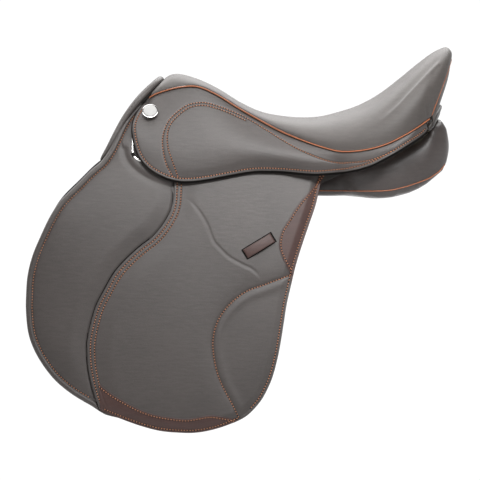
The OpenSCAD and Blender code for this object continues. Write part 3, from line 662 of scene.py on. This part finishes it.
def build_flap(side, word):
    base = side_sheet(word + "_flap_leather", side, FRONT, HEAD_TOP + REAR, -1.2, -4.2, LINING, m=260, n=90,
        r=1.2, slot_box=(-176.5, -162.5, 73, 86.5), slot="grey_leather")
    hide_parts(word + "_flap", word + "_flap_head")
    # the knee faces within 2.3 mm of the seam take the near-black edge material: painted shade in the gap at the seam
    knee = side_sheet(word + "_flap_front", side, FRONT[:22] + [[-274, -303]],
        [[-206, 138], [-205, 110], [-196, 78], [-182, 54], [-171, 30]] + SEAM[3:], knee_out, -1.1, GREY,
        m=300, n=110, r=1.3, slot="grey_leather", dark=lambda x, z: np.abs(to_line(x, z, SEAM_LINE)) < 2.3)
    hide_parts(word + "_knee_pad")
    cover = side_sheet(word + "_flap_overlay", side, SEAM + FRONT[23:], [[54, 62], [50.5, 42]] + REAR,
        cover_out, -1.0, GREY, m=300, n=230, r=0.8, slot="grey_leather")
    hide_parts(word + "_flap_cover")
    bottom = [[-275, -300]] + FRONT[23:] + REAR[:13:-1]
    low = side_sheet(word + "_lower_patch", side, LOW_PATCH, bottom, patch_out, lambda x, z: cover_out(x, z) - 0.1,
        BROWN, m=150, n=30, r=0.7, slot="brown_leather")
    rear_edge = [[49, 38]] + REAR[:6]
    rear = side_sheet(word + "_rear_patch", side, REAR_PATCH, rear_edge, patch_out,
        lambda x, z: cover_out(x, z) - 0.1, BROWN, m=120, n=30, r=0.7, slot="brown_leather")
    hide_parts(word + "_patches")
    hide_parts(word + "_patches")
    sewn = Stitches()
    knee_y, cover_y, patch_y = on_side(knee_out), on_side(cover_out), on_side(patch_out)
    sew(sewn, inset(FRONT[:22], 9, 0.02, 0.985), knee_y)
    for by in (4, 10):
        sew(sewn, inset(SEAM, by, 0.02, 0.99), cover_y)
    sew(sewn, inset(HALF_MOON, 0), cover_y, lift=0.1)
    sew(sewn, inset([[47, 40]] + REAR, -4.5, 0.3, 0.80), cover_y)
    sew(sewn, inset(LOW_PATCH, -3, 0.01, 0.99), patch_y)
    sew(sewn, inset(bottom, 3.5, 0.02, 0.99), patch_y)
    sew(sewn, inset(REAR_PATCH, 3, 0.0, 0.97), patch_y)
    sew(sewn, inset(rear_edge, -4.5, 0.0, 0.97), patch_y)
    thread = sewn.done(word + "_flap_stitches", side, THREAD)
    build_keeper(side, word)
    for obj in (base, knee, cover, low, rear, thread):
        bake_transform(obj)


KEEPER_AT, KEEPER_SLOPE, KEEPER_LONG, KEEPER_WIDE = np.array([-46.0, -65.0]), math.radians(31), 46, 14


def build_keeper(side, word):
    """A short strap sewn down at both ends, arched over the slot that it covers."""
    axis = np.array([math.cos(KEEPER_SLOPE), math.sin(KEEPER_SLOPE)])
    across = np.array([-axis[1], axis[0]])
    # the second piece, a little larger than the keeper and near-black, stands for the slot under it: painted shade
    for name, long_, wide, rise, thick, material in (("keeper", KEEPER_LONG, KEEPER_WIDE, 3.2, 2.2, BROWN),
            ("keeper_slot_shade", KEEPER_LONG + 5, KEEPER_WIDE + 3, 0.15, 1.2, DARK_DYE_AND_SHADE)):
        u, v = spread(60, 0.02), spread(24, 0.05)
        g = KEEPER_AT + (u[:, None, None] - 0.5) * long_ * axis + (v[None, :, None] - 0.5) * wide * across
        x, z = g[..., 0], g[..., 1]
        arch = rise * np.sin(np.pi * u[:, None]) ** 0.5 + 0.5 * np.sin(np.pi * v[None, :]) * (rise > 1)
        low = on_side(cover_out)(x, z) + arch - (0.4 if rise > 1 else 1.1)
        top = low + thick - edge_drop(g, u, v, 1.1 if rise > 1 else 0.5)
        shell(word + "_" + name, placed(x, top, z, side),
            placed(x, low, z, side), material, body=word + "_flap_leaf", slot="brown_leather")
    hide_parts(word + "_keeper")


# ---------- the skirt ----------
D_OUTER = [[-170, 33], [-180, 51], [-185, 72], [-186, 87], [-183, 101], [-177, 114], [-168, 124], [-155, 134],
    [-143, 139], [-130, 140.5], [-119, 139.5], [-94, 131.5], [-65, 118.5], [-41, 104.5], [-10, 85.5], [14, 72.5],
    [46, 59.5], [68, 54.5], [87, 55], [112, 58], [134, 65.5], [146, 72]]
D_INNER = [[-163, 33], [-172, 58], [-178, 77], [-179, 94], [-175, 108], [-166, 119.5], [-153, 130], [-142, 135],
    [-130, 136.5], [-119, 135.5], [-94, 127.5], [-65, 114.5]]
D_LINE = spline(D_OUTER, 6)
EDGE_LINE = spline(SKIRT_EDGE, 6)
FOLD_DIR = unit(FOLD_B - FOLD_A)


def skirt_out(x, z):
    e = np.abs(to_line(x, z, EDGE_LINE))
    d = to_line(x, z, D_LINE)
    inside = np.clip(-d, 0, None)
    return skirt_y(x, z) + groove(e - 4.6, 1.3, 0.5) + groove(d, 1.4, 0.5) \
        + 1.3 * (1 - np.exp(-inside / 12)) * (d < 0) * smooth(4, 18, e) - 0.8


def build_skirt(side, word):
    u, v = spread(360, 0.003), spread(90, 0.012)
    top = np.vstack([[-213.5, 140.5], WELT[:int(19.3 / 20 * (len(WELT) - 1))][::20][:, [0, 2]] + [0, -3.2]])
    g = between(top, SKIRT_EDGE, u, v)
    x, z = g[..., 0], g[..., 1]
    y = skirt_out(x, z)
    outer = np.stack([x, y - edge_drop(g, u, v, 1.2), z], -1)
    inner = np.stack([x, skirt_y(x, z) - 3.4, z], -1)
    # the band within 0.9 mm of the skirt's lower edge is near-black: dyed edge, and painted shade of the gap under it
    rim = np.abs(to_line(mid(x), mid(z), EDGE_LINE)) < 0.9
    skirt = shell(word + "_skirt_leather", mirrored(outer, side), mirrored(inner, side), GREY, dark=rim,
        slot="grey_leather")
    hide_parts(word + "_skirt", word + "_skirt_top")
    # a near-black lining strip peeking out under the skirt's edge, darkened as painted shade of the gap beneath the
    # edge
    g = between(inset(SKIRT_EDGE, lambda k: -0.8 - 1.8 * smooth(0.08, 0.3, k), 0.03, 0.975),
        inset(SKIRT_EDGE, 9, 0.03, 0.975), spread(300, 0.003),
        spread(12, 0.06))
    x, z = g[..., 0], g[..., 1]
    # tucked into the skirt's edge at the front, where the dee swings behind it
    y = skirt_y(x, np.maximum(z, 20)) - 3.5 + 2.2 * smooth(-180, -200, x)
    lining = shell(word + "_skirt_lining_and_gap_shade", placed(x, y, z, side),
        placed(x, y - 0.7, z, side), DARK_DYE_AND_SHADE, slot="dark_leather")
    sewn = Stitches()
    sew(sewn, inset(SKIRT_EDGE, 4.6, 0.012, 0.985), skirt_out)
    sew(sewn, inset(D_OUTER, 0), skirt_out)
    sew(sewn, inset(D_INNER, 0), skirt_out)
    thread = sewn.done(word + "_skirt_stitches", side, THREAD)
    down = np.array([0, 0, -1.0])
    down = down - down @ FOLD_DIR * FOLD_DIR
    down = unit(down)
    for obj in (skirt, lining, thread):
        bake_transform(obj)


# ---------- the seat ----------
CREASE = spline([[222, 206], [215, 198], [197, 180], [175, 157], [155, 136], [135, 119], [116, 105]], 8)
WRINKLES = [spline(w, 8) for w in ([[199, 146], [203, 134], [203, 122]], [[193, 141], [197, 130], [197, 118]],
    [[206, 152], [209, 143], [208, 130]])]


def build_seat():
    s, v = np.linspace(0, 20, 361), np.linspace(-1, 1, 221)
    S, V = np.meshgrid(s, v, indexing="ij")
    p = seat_point(S, V, 0)
    du, dv = np.gradient(p, axis=0), np.gradient(p, axis=1)
    n = np.cross(du, dv)
    n /= np.linalg.norm(n, axis=-1)[..., None] + 1e-9
    if n[180, 110, 2] < 0:
        n = -n
    xz = p[..., [0, 2]]
    flank = smooth(8, 30, np.abs(p[..., 1]))
    d, along = distance(xz, CREASE)
    share = along / arc_length(CREASE)[-1]
    lift = flank * 1.4 * bump(d, 2.8) * smooth(0, 0.1, share) * smooth(1, 0.5, share)
    lift = lift - flank * 1.7 * bump(d + 6, 4.5) * smooth(0, 0.1, share) * smooth(1, 0.55, share)
    for w in WRINKLES:
        d, along = distance(xz, w)
        share = along / arc_length(w)[-1]
        lift = lift - 0.9 * bump(d, 1.6) * np.sin(np.pi * share.clip(0, 1)) * flank
    lift = lift * smooth(0, 0.04, 1 - np.abs(V)) + 0 * S
    inner = seat_point(S, V * 0.999, 2.4)
    cover = shell("seat_leather", p + n * lift[..., None], inner, SEAT_GREY, body="saddle", slot="grey_leather")
    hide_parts("seat_cover")
    S, V = np.meshgrid(np.linspace(0.3, 19.8, 120), np.linspace(-0.96, 0.96, 70), indexing="ij")
    pad = shell("seat_padding", seat_point(S, V, 2.9), seat_point(S, V, 12.9), FOAM, body="saddle", slot="foam")
    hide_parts("seat_foam")
    for side, word in SIDES:
        path = np.vstack([[-213.5, 51.6, 141.8], WELT[:int(0.95 * len(WELT))][::4] + [0, 0.9, -1.7]])
        welt = loft(word + "_welt", mirrored(tube_rings(path, 0.9, 0.9, taper=2), side), PIPING,
            body="saddle", slot="rust_piping")
        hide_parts("seat_welt")
        # a near-black tube: painted shade in the gap between the seat's edge and the end of the skirt
        path = WELT[int(0.78 * len(WELT)):int(0.965 * len(WELT))][::4] + [0, -4.5, 0.8]
        loft(word + "_seat_gap_shade", mirrored(tube_rings(path, 3.2, 3.2, taper=4), side), DARK_DYE_AND_SHADE, body="saddle",
            slot="dark_leather")


def arch_curve(points, n=12):
    """A curve over the back from side to side, given its right half."""
    return spline(points + [[p[0], -p[1], p[2]] for p in points[-2::-1]], n)


def build_cantle():
    v = np.linspace(-0.985, 0.985, 121)
    rim = seat_point(20.0, v, 2.6)
    k = rim[:, 1] / 100
    low = np.stack([214 - 9 * k * k, rim[:, 1], 139 - 33 * k * k], -1)
    t = np.linspace(0, 1, 40)[None, :, None]
    back = rim[:, None] + (low - rim)[:, None] * t
    back[..., 0] += 4 * np.sin(np.pi * t[..., 0]) * (1 - k[:, None] ** 2) + 1.6
    panel = shell("cantle_back", back, back - [2.2, 0, 0], SEAT_GREY, body="saddle", slot="grey_leather")
    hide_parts("cantle_back_panel")
    seam = seat_point(20.0, np.linspace(-1, 1, 161), 0.8) + [0.6, 0, -0.3]
    loft("cantle_piping", tube_rings(seam, 0.75, 0.75, up=[1.0, 0, 0], taper=3), PIPING, body="saddle",
        slot="rust_piping")
    for name, first, drop, high in (("cantle_band_leather", 0, 0, 4.2), ("cantle_band_lower", 1, 7.5, 3.6)):
        band = arch_curve([[199, 101, 101], [206, 94, 112], [210.5, 81, 121], [215, 56, 128], [217, 30, 131],
            [218, 0, 132]][first:]) + [-0.3 * drop, 0, -drop]
        roll = loft(name, tube_rings(band, 3.0, high, 20, up=[0.3, 0, 1.0], taper=5), BAND, body="saddle",
            slot="brown_leather")
        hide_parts("cantle_band")
    front = arch_curve([[-276, 84, 58], [-265, 79, 74], [-255, 73, 92], [-244, 66, 112], [-232, 61, 130],
        [-219, 55.5, 146], [-207, 47, 158], [-197, 35, 167], [-191, 19, 172], [-189, 0, 173]])
    pommel = loft("pommel_roll_leather", tube_rings(front, 4.8, 4.4, 20, up=[0.6, 0, 0.8], taper=60), GREY,
        body="saddle", slot="grey_leather")
    # a near-black roll set just behind the pommel roll: painted shade in the gap between the roll and the seat
    behind = front[np.abs(front[:, 1]) < 57] + [4.2, 0, -3.2]
    loft("pommel_gap_shade", tube_rings(behind, 3.9, 3.2, 20, up=[0.6, 0, 0.8], taper=6), DARK_DYE_AND_SHADE,
        body="saddle", slot="grey_leather")
    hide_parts("pommel_roll")


def build_head_facing():
    """The leather over the front of the tree's arch."""
    arch = arch_curve([[-200, 76.5, 60], [-200, 68, 80], [-199, 57, 100], [-194, 45, 122], [-186, 36, 138],
        [-176, 22, 148], [-172, 0, 151]], 6)
    t = np.gradient(arch, axis=0)
    out = np.stack([0 * t[:, 0], -t[:, 2], t[:, 1]], -1)
    out = unit(out)
    off = np.linspace(-7.6, 7.6, 17)
    front = arch[:, None] + off[None, :, None] * out[:, None] + [-18.6, 0, 0]
    front[..., 0] += 1.6 * np.abs(off / 7.6) ** 3
    shell("head_facing", front, front + [1.2, 0, 0], LINING, body="saddle", slot="dark_leather")


# ---------- panels and what lies under the flap ----------
PANEL = np.array([[-232, 38, 70, 38, 58, 50], [-226, 20, 82, 32, 68, 49], [-210, 6, 92, 28, 78, 47],
    [-180, 1, 96, 27, 82, 46], [-140, 0, 90, 27, 82, 48], [-100, 0, 82, 27, 82, 52], [-50, 0, 75, 28, 82, 56],
    [0, 0, 69, 28, 82, 59], [40, 1.5, 65, 28, 82, 62], [60, 1, 61, 28, 84, 68], [80, 0.5, 59, 28, 92, 80],
    [100, 0, 60, 28, 108, 96], [130, 1, 66, 28, 118, 103], [159, 6, 76, 28, 115, 97], [188, 16, 90, 28, 103, 84],
    [203, 25, 108, 28, 94, 76], [214, 33, 117, 30, 85, 67], [223, 40, 115, 33, 76, 60], [229, 51, 107, 36, 67, 55],
    [232.3, 61, 95, 40, 58, 51], [233.6, 73, 83, 43, 51, 48]], float)


def coords(mesh, field="co"):
    flat = np.empty(len(mesh.vertices) * 3)
    mesh.vertices.foreach_get(field, flat)
    return flat.reshape(-1, 3)


def settle(obj):
    """Keep the mesh that the object's modifiers make, and drop the modifiers."""
    made = bpy.data.meshes.new_from_object(obj.evaluated_get(bpy.context.evaluated_depsgraph_get()))
    obj.modifiers.clear()
    obj.data = made
    made.shade_smooth()


def stuffed(obj, cap, smaller=1.5, voxel=6.0, pressure=4.0):
    """Fill a closed skin by a cloth simulation. cap(x) is how far a point may move, in millimetres."""
    shrunk = coords(obj.data) - coords(obj.data, "normal") * smaller * MM
    obj.data.vertices.foreach_set("co", shrunk.ravel())
    remesh = obj.modifiers.new("even", "REMESH")
    remesh.mode = "VOXEL"
    remesh.voxel_size = voxel * MM
    settle(obj)
    rest = coords(obj.data)
    cloth = obj.modifiers.new("cloth", "CLOTH")
    cloth.settings.quality = 6
    cloth.settings.mass = 0.3
    cloth.settings.tension_stiffness = 12
    cloth.settings.compression_stiffness = 12
    cloth.settings.shear_stiffness = 6
    cloth.settings.bending_stiffness = 1.5
    cloth.settings.use_pressure = True
    cloth.settings.uniform_pressure_force = pressure
    cloth.settings.effector_weights.gravity = 0
    cloth.point_cache.frame_start, cloth.point_cache.frame_end = 1, 20
    for f in range(1, 21):
        bpy.context.scene.frame_set(f)
    settle(obj)
    bpy.context.scene.frame_set(1)
    moved = coords(obj.data) - rest
    far = np.linalg.norm(moved, axis=1) / MM
    most = cap(rest[:, 0] / MM)
    moved *= (most * np.tanh(far / most) / np.maximum(far, 1e-9))[:, None]
    obj.data.vertices.foreach_set("co", (rest + moved).ravel())
    even = obj.modifiers.new("smooth", "SMOOTH")
    even.factor, even.iterations = 0.5, 5
    finer = obj.modifiers.new("finer", "SUBSURF")
    finer.levels = finer.render_levels = 1
    settle(obj)


def twin(obj, name):
    """The same piece for the other side of the saddle."""
    mesh = obj.data.copy()
    mesh.vertices.foreach_set("co", (coords(mesh) * [1, -1, 1]).ravel())
    mesh.flip_normals()
    other = bpy.data.objects.new(name, mesh)
    bpy.context.scene.collection.objects.link(other)
    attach(other, "saddle")
    return other


def panel_ring(p):
    x, bottom, top, inner, low, high = p
    h = top - bottom
    ring = np.array([[inner, bottom + 0.32 * h], [(inner + low) / 2, bottom + 0.08 * h], [low - 5, bottom],
        [low, bottom + 0.16 * h],
        [(low + high) / 2 + 2 + 3.5 * smooth(70, 120, x), bottom + 0.5 * h], [high, top - 0.1 * h],
        [(inner + high) / 2, top], [inner + 3, top - 0.06 * h], [inner - 2, bottom + 0.62 * h]])
    q = spline(np.vstack([ring[-2:], ring, ring[:2]]), 6)[12:-13]
    return np.column_stack([np.full(len(q), x), q])


PANEL_SEAM = [[40, 13], [90, 13], [138, 14], [160, 18], [175, 22], [198, 30], [209, 36], [218, 43], [228, 55]]


def build_panels():
    rings = np.array([panel_ring(p) for p in spline(PANEL, 5)])
    right = loft("right_panel_cushion", rings, PANEL_GREY, body="saddle", slot="dark_leather")
    stuffed(right, lambda x: 2 + 5.5 * smooth(50, 110, x), smaller=1.2)
    left = twin(right, "left_panel_cushion")
    seam = spline(PANEL_SEAM, 14)
    hits = [right.ray_cast(Vector((x * MM, 0.3, z * MM)), Vector((0, -1, 0))) for x, z in seam]
    path = np.array([[x, hit[1].y / MM + 0.4, z] for (x, z), hit in zip(seam, hits) if hit[0]])
    for (side, word), panel in zip(SIDES, (right, left)):
        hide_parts(word + "_panel")
        piping = loft(word + "_panel_piping", mirrored(tube_rings(path, 0.7, 0.75, 12, taper=4), side),
            PIPING, body="saddle", slot="rust_piping")
        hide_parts("panel_piping")


SWEAT_FRONT = [[-226, 92], [-240, 82], [-263, 60], [-288, 38], [-316, 14], [-342, -20], [-366, -76],
    [-375, -138], [-371, -190], [-350, -236], [-318, -266], [-270, -290], [-200, -312]]
SWEAT_REAR = [[-120, 82], [-60, 70], [0, 54], [40, 34], [40, 10], [20, -22], [-8, -80], [-22, -150],
    [-32, -215], [-46, -262], [-66, -292], [-96, -308], [-130, -315]]


def build_block(name, path):
    """A padded block on the right sweat flap, along a path of [x, z, half width]."""
    p = spline(path, 8)
    t = np.gradient(p[:, :2], axis=0)
    t = unit(t)
    a = np.linspace(0, np.pi, 25)
    rings = []
    for q, d in zip(p, t):
        w, full = q[2], float(smooth(0, 8, q[2]))
        off = np.cos(a)[::-1] * w
        x, z = q[0] - d[1] * off, q[1] + d[0] * off
        rings.append(np.stack([x, flap_y(x, z) - 18.7 + 12.2 * full * np.sin(a) ** 0.6, z], -1))
    obj = loft("right_" + name, rings, LINING, body="saddle", slot="dark_leather")
    stuffed(obj, lambda x: 2.5 + 0 * x, smaller=1.0, voxel=5.0)
    return [obj, twin(obj, "left_" + name)]


def softened(node, name, material, width):
    """A copy of a CAD node with its edges eased by width, standing in its place."""
    old = frame["nodes"][node]
    mesh = old.data.copy()
    bm = bmesh.new()
    bm.from_mesh(mesh)
    bmesh.ops.remove_doubles(bm, verts=bm.verts, dist=1e-6)
    bmesh.ops.dissolve_limit(bm, angle_limit=math.radians(1), verts=bm.verts, edges=bm.edges)
    sharp = [e for e in bm.edges if len(e.link_faces) == 2 and e.calc_face_angle(0) > math.radians(35)]
    bmesh.ops.bevel(bm, geom=sharp, offset=width * MM, segments=2, affect="EDGES", profile=0.5, clamp_overlap=True)
    bmesh.ops.triangulate(bm, faces=[f for f in bm.faces if len(f.verts) > 4])
    bm.to_mesh(mesh)
    bm.free()
    mesh.materials.clear()
    mesh.materials.append(material)
    mesh.shade_smooth()
    mesh.set_sharp_from_angle(angle=math.radians(40))
    obj = bpy.data.objects.new(name, mesh)
    bpy.context.scene.collection.objects.link(obj)
    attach(obj, old["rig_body"])
    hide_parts(node)


SWEAT_OUT = -19
BILLET_LEAN = math.radians(16.7)
BILLET_X = {"front": -150, "middle": -112, "rear": -74}


def build_under(side, word):
    """The sweat flap, billets, buckle guard and dee chape."""
    sweat = side_sheet(word + "_sweat_leather", side, SWEAT_FRONT, SWEAT_REAR, SWEAT_OUT, SWEAT_OUT - 3, LINING,
        m=160, n=60, r=1.2, slot="dark_leather", body="saddle")
    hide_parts(word + "_sweat_flap")
    sewn = Stitches()
    sweat_y = on_side(lambda x, z: SWEAT_OUT)
    sew(sewn, inset(SWEAT_FRONT, 6, 0.03, 0.99), sweat_y)
    sew(sewn, inset(SWEAT_REAR, -6, 0.3, 0.99), sweat_y)
    sewn.done(word + "_sweat_stitches", side, THREAD, body="saddle")
    face = np.array([0, math.cos(BILLET_LEAN), math.sin(BILLET_LEAN)])
    fall = np.array([0, math.sin(BILLET_LEAN), -math.cos(BILLET_LEAN)])
    down = np.linspace(6, 300, 120)[:, None]
    for place, x0 in BILLET_X.items():
        billet = word + "_" + place + "_billet"
        softened(billet, billet + "_leather", BROWN, 0.5)
        sewn = Stitches()
        for dx in (-9.6, 9.6):
            path = [x0 + dx, 90, 30] + down * fall + 1.75 * face
            sewn.row(path, np.tile(face, (120, 1)), pitch=4.2, length=3.0)
        sewn.done(billet + "_stitches", side, THREAD, body=word + "_" + place + "_strap")
    softened(word + "_buckle_guard", word + "_buckle_guard_leather", LINING, 0.6)
    softened(word + "_dee_chape", word + "_dee_chape_leather", LINING, 0.5)


BLOCKS = (
    ("knee_roll", "knee_block", [[-296, 2, 3], [-306, -14, 14], [-324, -50, 20], [-338, -95, 21], [-344, -140, 20],
        [-342, -175, 16], [-338, -200, 8], [-336, -208, 3]]),
    ("thigh_roll", "thigh_block", [[-22, -52, 2], [-24, -62, 8], [-28, -90, 11], [-31, -125, 12], [-34, -160, 11],
        [-38, -185, 8], [-41, -196, 2]]))


def build_blocks():
    for name, node, path in BLOCKS:
        for obj, (_, word) in zip(build_block(name, path), SIDES):
            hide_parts(word + "_" + node)


STUD_AT, STUD_OUT = np.array([-204, 75.5, 128]), np.array([0, math.sin(math.radians(54)), math.cos(math.radians(54))])
# radius and height of each ring of the stud's parts
STUD = (
    ("stud_seat", [(11.4, -0.5), (11.7, 0.8), (11.4, 1.5), (10.4, 1.7)], NICKEL),
    ("stud_ring", [(10.6, 0.5), (10.6, 1.9), (9.4, 1.9)], DARK_DYE_AND_SHADE),
    ("stud_dome", [(9.9, 0.6), (9.9, 1.9), (9.6, 2.3), (8.6, 2.6), (6.5, 2.9), (3.5, 3.1), (1.0, 3.15)], ENAMEL))
DEE_AT, DEE_LEAN, DEE_R, DEE_LEG = np.array([-215, 81.6, 88]), math.radians(22), 14.5, 19


def build_small(side, word):
    """The stud's dark seat and plain pale dome, and the leather sleeve on the dee."""
    up = np.cross(STUD_OUT, [1.0, 0, 0])
    turn = np.linspace(0, 2 * np.pi, 48, endpoint=False)[:, None]
    for name, profile, material in STUD:
        rings = [STUD_AT + STUD_OUT * h + r * (np.cos(turn) * [1.0, 0, 0] + np.sin(turn) * up) for r, h in profile]
        stud = loft(word + "_" + name, mirrored(rings, side), material, body="saddle", slot="nickel")
        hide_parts("skirt_studs")
    a = np.radians(np.linspace(8, 38, 12))
    x, z = -DEE_R * np.cos(a), -DEE_LEG - DEE_R * np.sin(a)
    path = DEE_AT + np.stack([x, -z * math.sin(DEE_LEAN), z * math.cos(DEE_LEAN)], 1)
    loft(word + "_dee_sleeve", mirrored(tube_rings(path, 2.7, 2.7, taper=1), side), DARK_DYE_AND_SHADE,
        body=word + "_dee_ring", slot="dark_leather")


# ---------- everything ----------
build_seat()
build_cantle()
build_head_facing()
build_panels()
build_blocks()
for side, word in SIDES:
    build_flap(side, word)
    build_skirt(side, word)
    build_under(side, word)
    build_small(side, word)
softened("billet_webs", "billet_web_straps", WEBBING, 0.4)
softened("seat_webs", "seat_web_straps", WEBBING, 0.4)
for node in ("tree_head", "tree_rails", "tree_cantle"):
    dress(node, WOOD)
for node in ("head_plate", "gullet_plate", "spring_steels", "tree_rivets", "bar_rivets"):
    dress(node, STEEL)
for word in ("left", "right"):
    for node in ("_stirrup_bar", "_bar_catch"):
        dress(word + node, STEEL)
    dress(word + "_dee", NICKEL)


# ---------- floor, light, camera ----------
def aimed(name, data, at_, toward):
    """A lamp or camera at a place, looking towards another."""
    obj = bpy.data.objects.new(name, data)
    obj.location = at_
    obj.rotation_euler = (Vector(toward) - Vector(at_)).to_track_quat("-Z", "Y").to_euler()
    bpy.context.scene.collection.objects.link(obj)
    return obj


def lamp(name, kind, at_, toward, power, **settings):
    data = bpy.data.lights.new(name, kind)
    data.energy = power
    for key, value in settings.items():
        setattr(data, key, value)
    aimed(name, data, at_, toward)


def panel_lamp(name, at_, toward, size, power):
    lamp(name, "AREA", at_, toward, power, shape="RECTANGLE", size=size[0], size_y=size[1])


FLOOR_Z, FLOOR_HALF = -0.62, 3.2
pale, tree, shader = nodes_of("pale floor")
feed(tree, shader, {"Base Color": (0.86, 0.86, 0.86, 1), "Roughness": 0.9})
sheet = bpy.data.meshes.new("floor")
sheet.from_pydata([(x * FLOOR_HALF, y * FLOOR_HALF, 0) for x, y in ((-1, -1), (1, -1), (1, 1), (-1, 1))],
    [], [(0, 1, 2, 3)])
sheet.materials.append(pale)
floor = bpy.data.objects.new("floor", sheet)
floor.location = (0, 0, FLOOR_Z)
bpy.context.scene.collection.objects.link(floor)

# a pale band round the horizon under a dimmer sky
world = bpy.data.worlds.new("studio")
world.use_nodes = True
tree = world.node_tree
split = put(tree, "SeparateXYZ", "Z", {"Vector": put(tree, "TexCoord", "Generated", {})})
sky = in_range(tree, maths(tree, "ABSOLUTE", split), from_min=0.07, from_max=0.3, to_min=1.05, to_max=0.2)
feed(tree, tree.nodes["Background"], {"Strength": sky, "Color": (1, 1, 1, 1)})
bpy.context.scene.world = world
bpy.context.scene.view_settings.view_transform = "Standard"
panel_lamp("overhead", (-0.3, 0.9, 1.7), (0.05, 0, 0.1), (4.0, 2.6), 132)
panel_lamp("rear_fill", (0.5, -0.9, 0.8), (0.19, -0.1, 0.06), (0.6, 0.5), 4.4)
panel_lamp("front_top", (0.0, -0.85, 1.1), (0.0, -0.1, 0.1), (1.6, 0.7), 13)
lamp("upper", "SPOT", (0.02, -1.25, 1.2), (0.02, -0.1, 0.1), 82, spot_size=math.radians(30), spot_blend=1.0,
    shadow_soft_size=0.3)

# the photograph's view: level but for 2 degrees, from far off, 0.696 m across at the saddle
ELEVATION, FAR, ACROSS, SENSOR = math.radians(2), 14.0, 0.696, 36
AIM = Vector((-0.0735, -0.1, -0.058))
camera = aimed("camera", bpy.data.cameras.new("camera"),
    AIM + Vector((0, -math.cos(ELEVATION), math.sin(ELEVATION))) * FAR, AIM)
camera.data.sensor_width = SENSOR
camera.data.lens = SENSOR * FAR / ACROSS
camera.data.clip_end = 100
bpy.context.scene.camera = camera

bpy.context.view_layer.update()
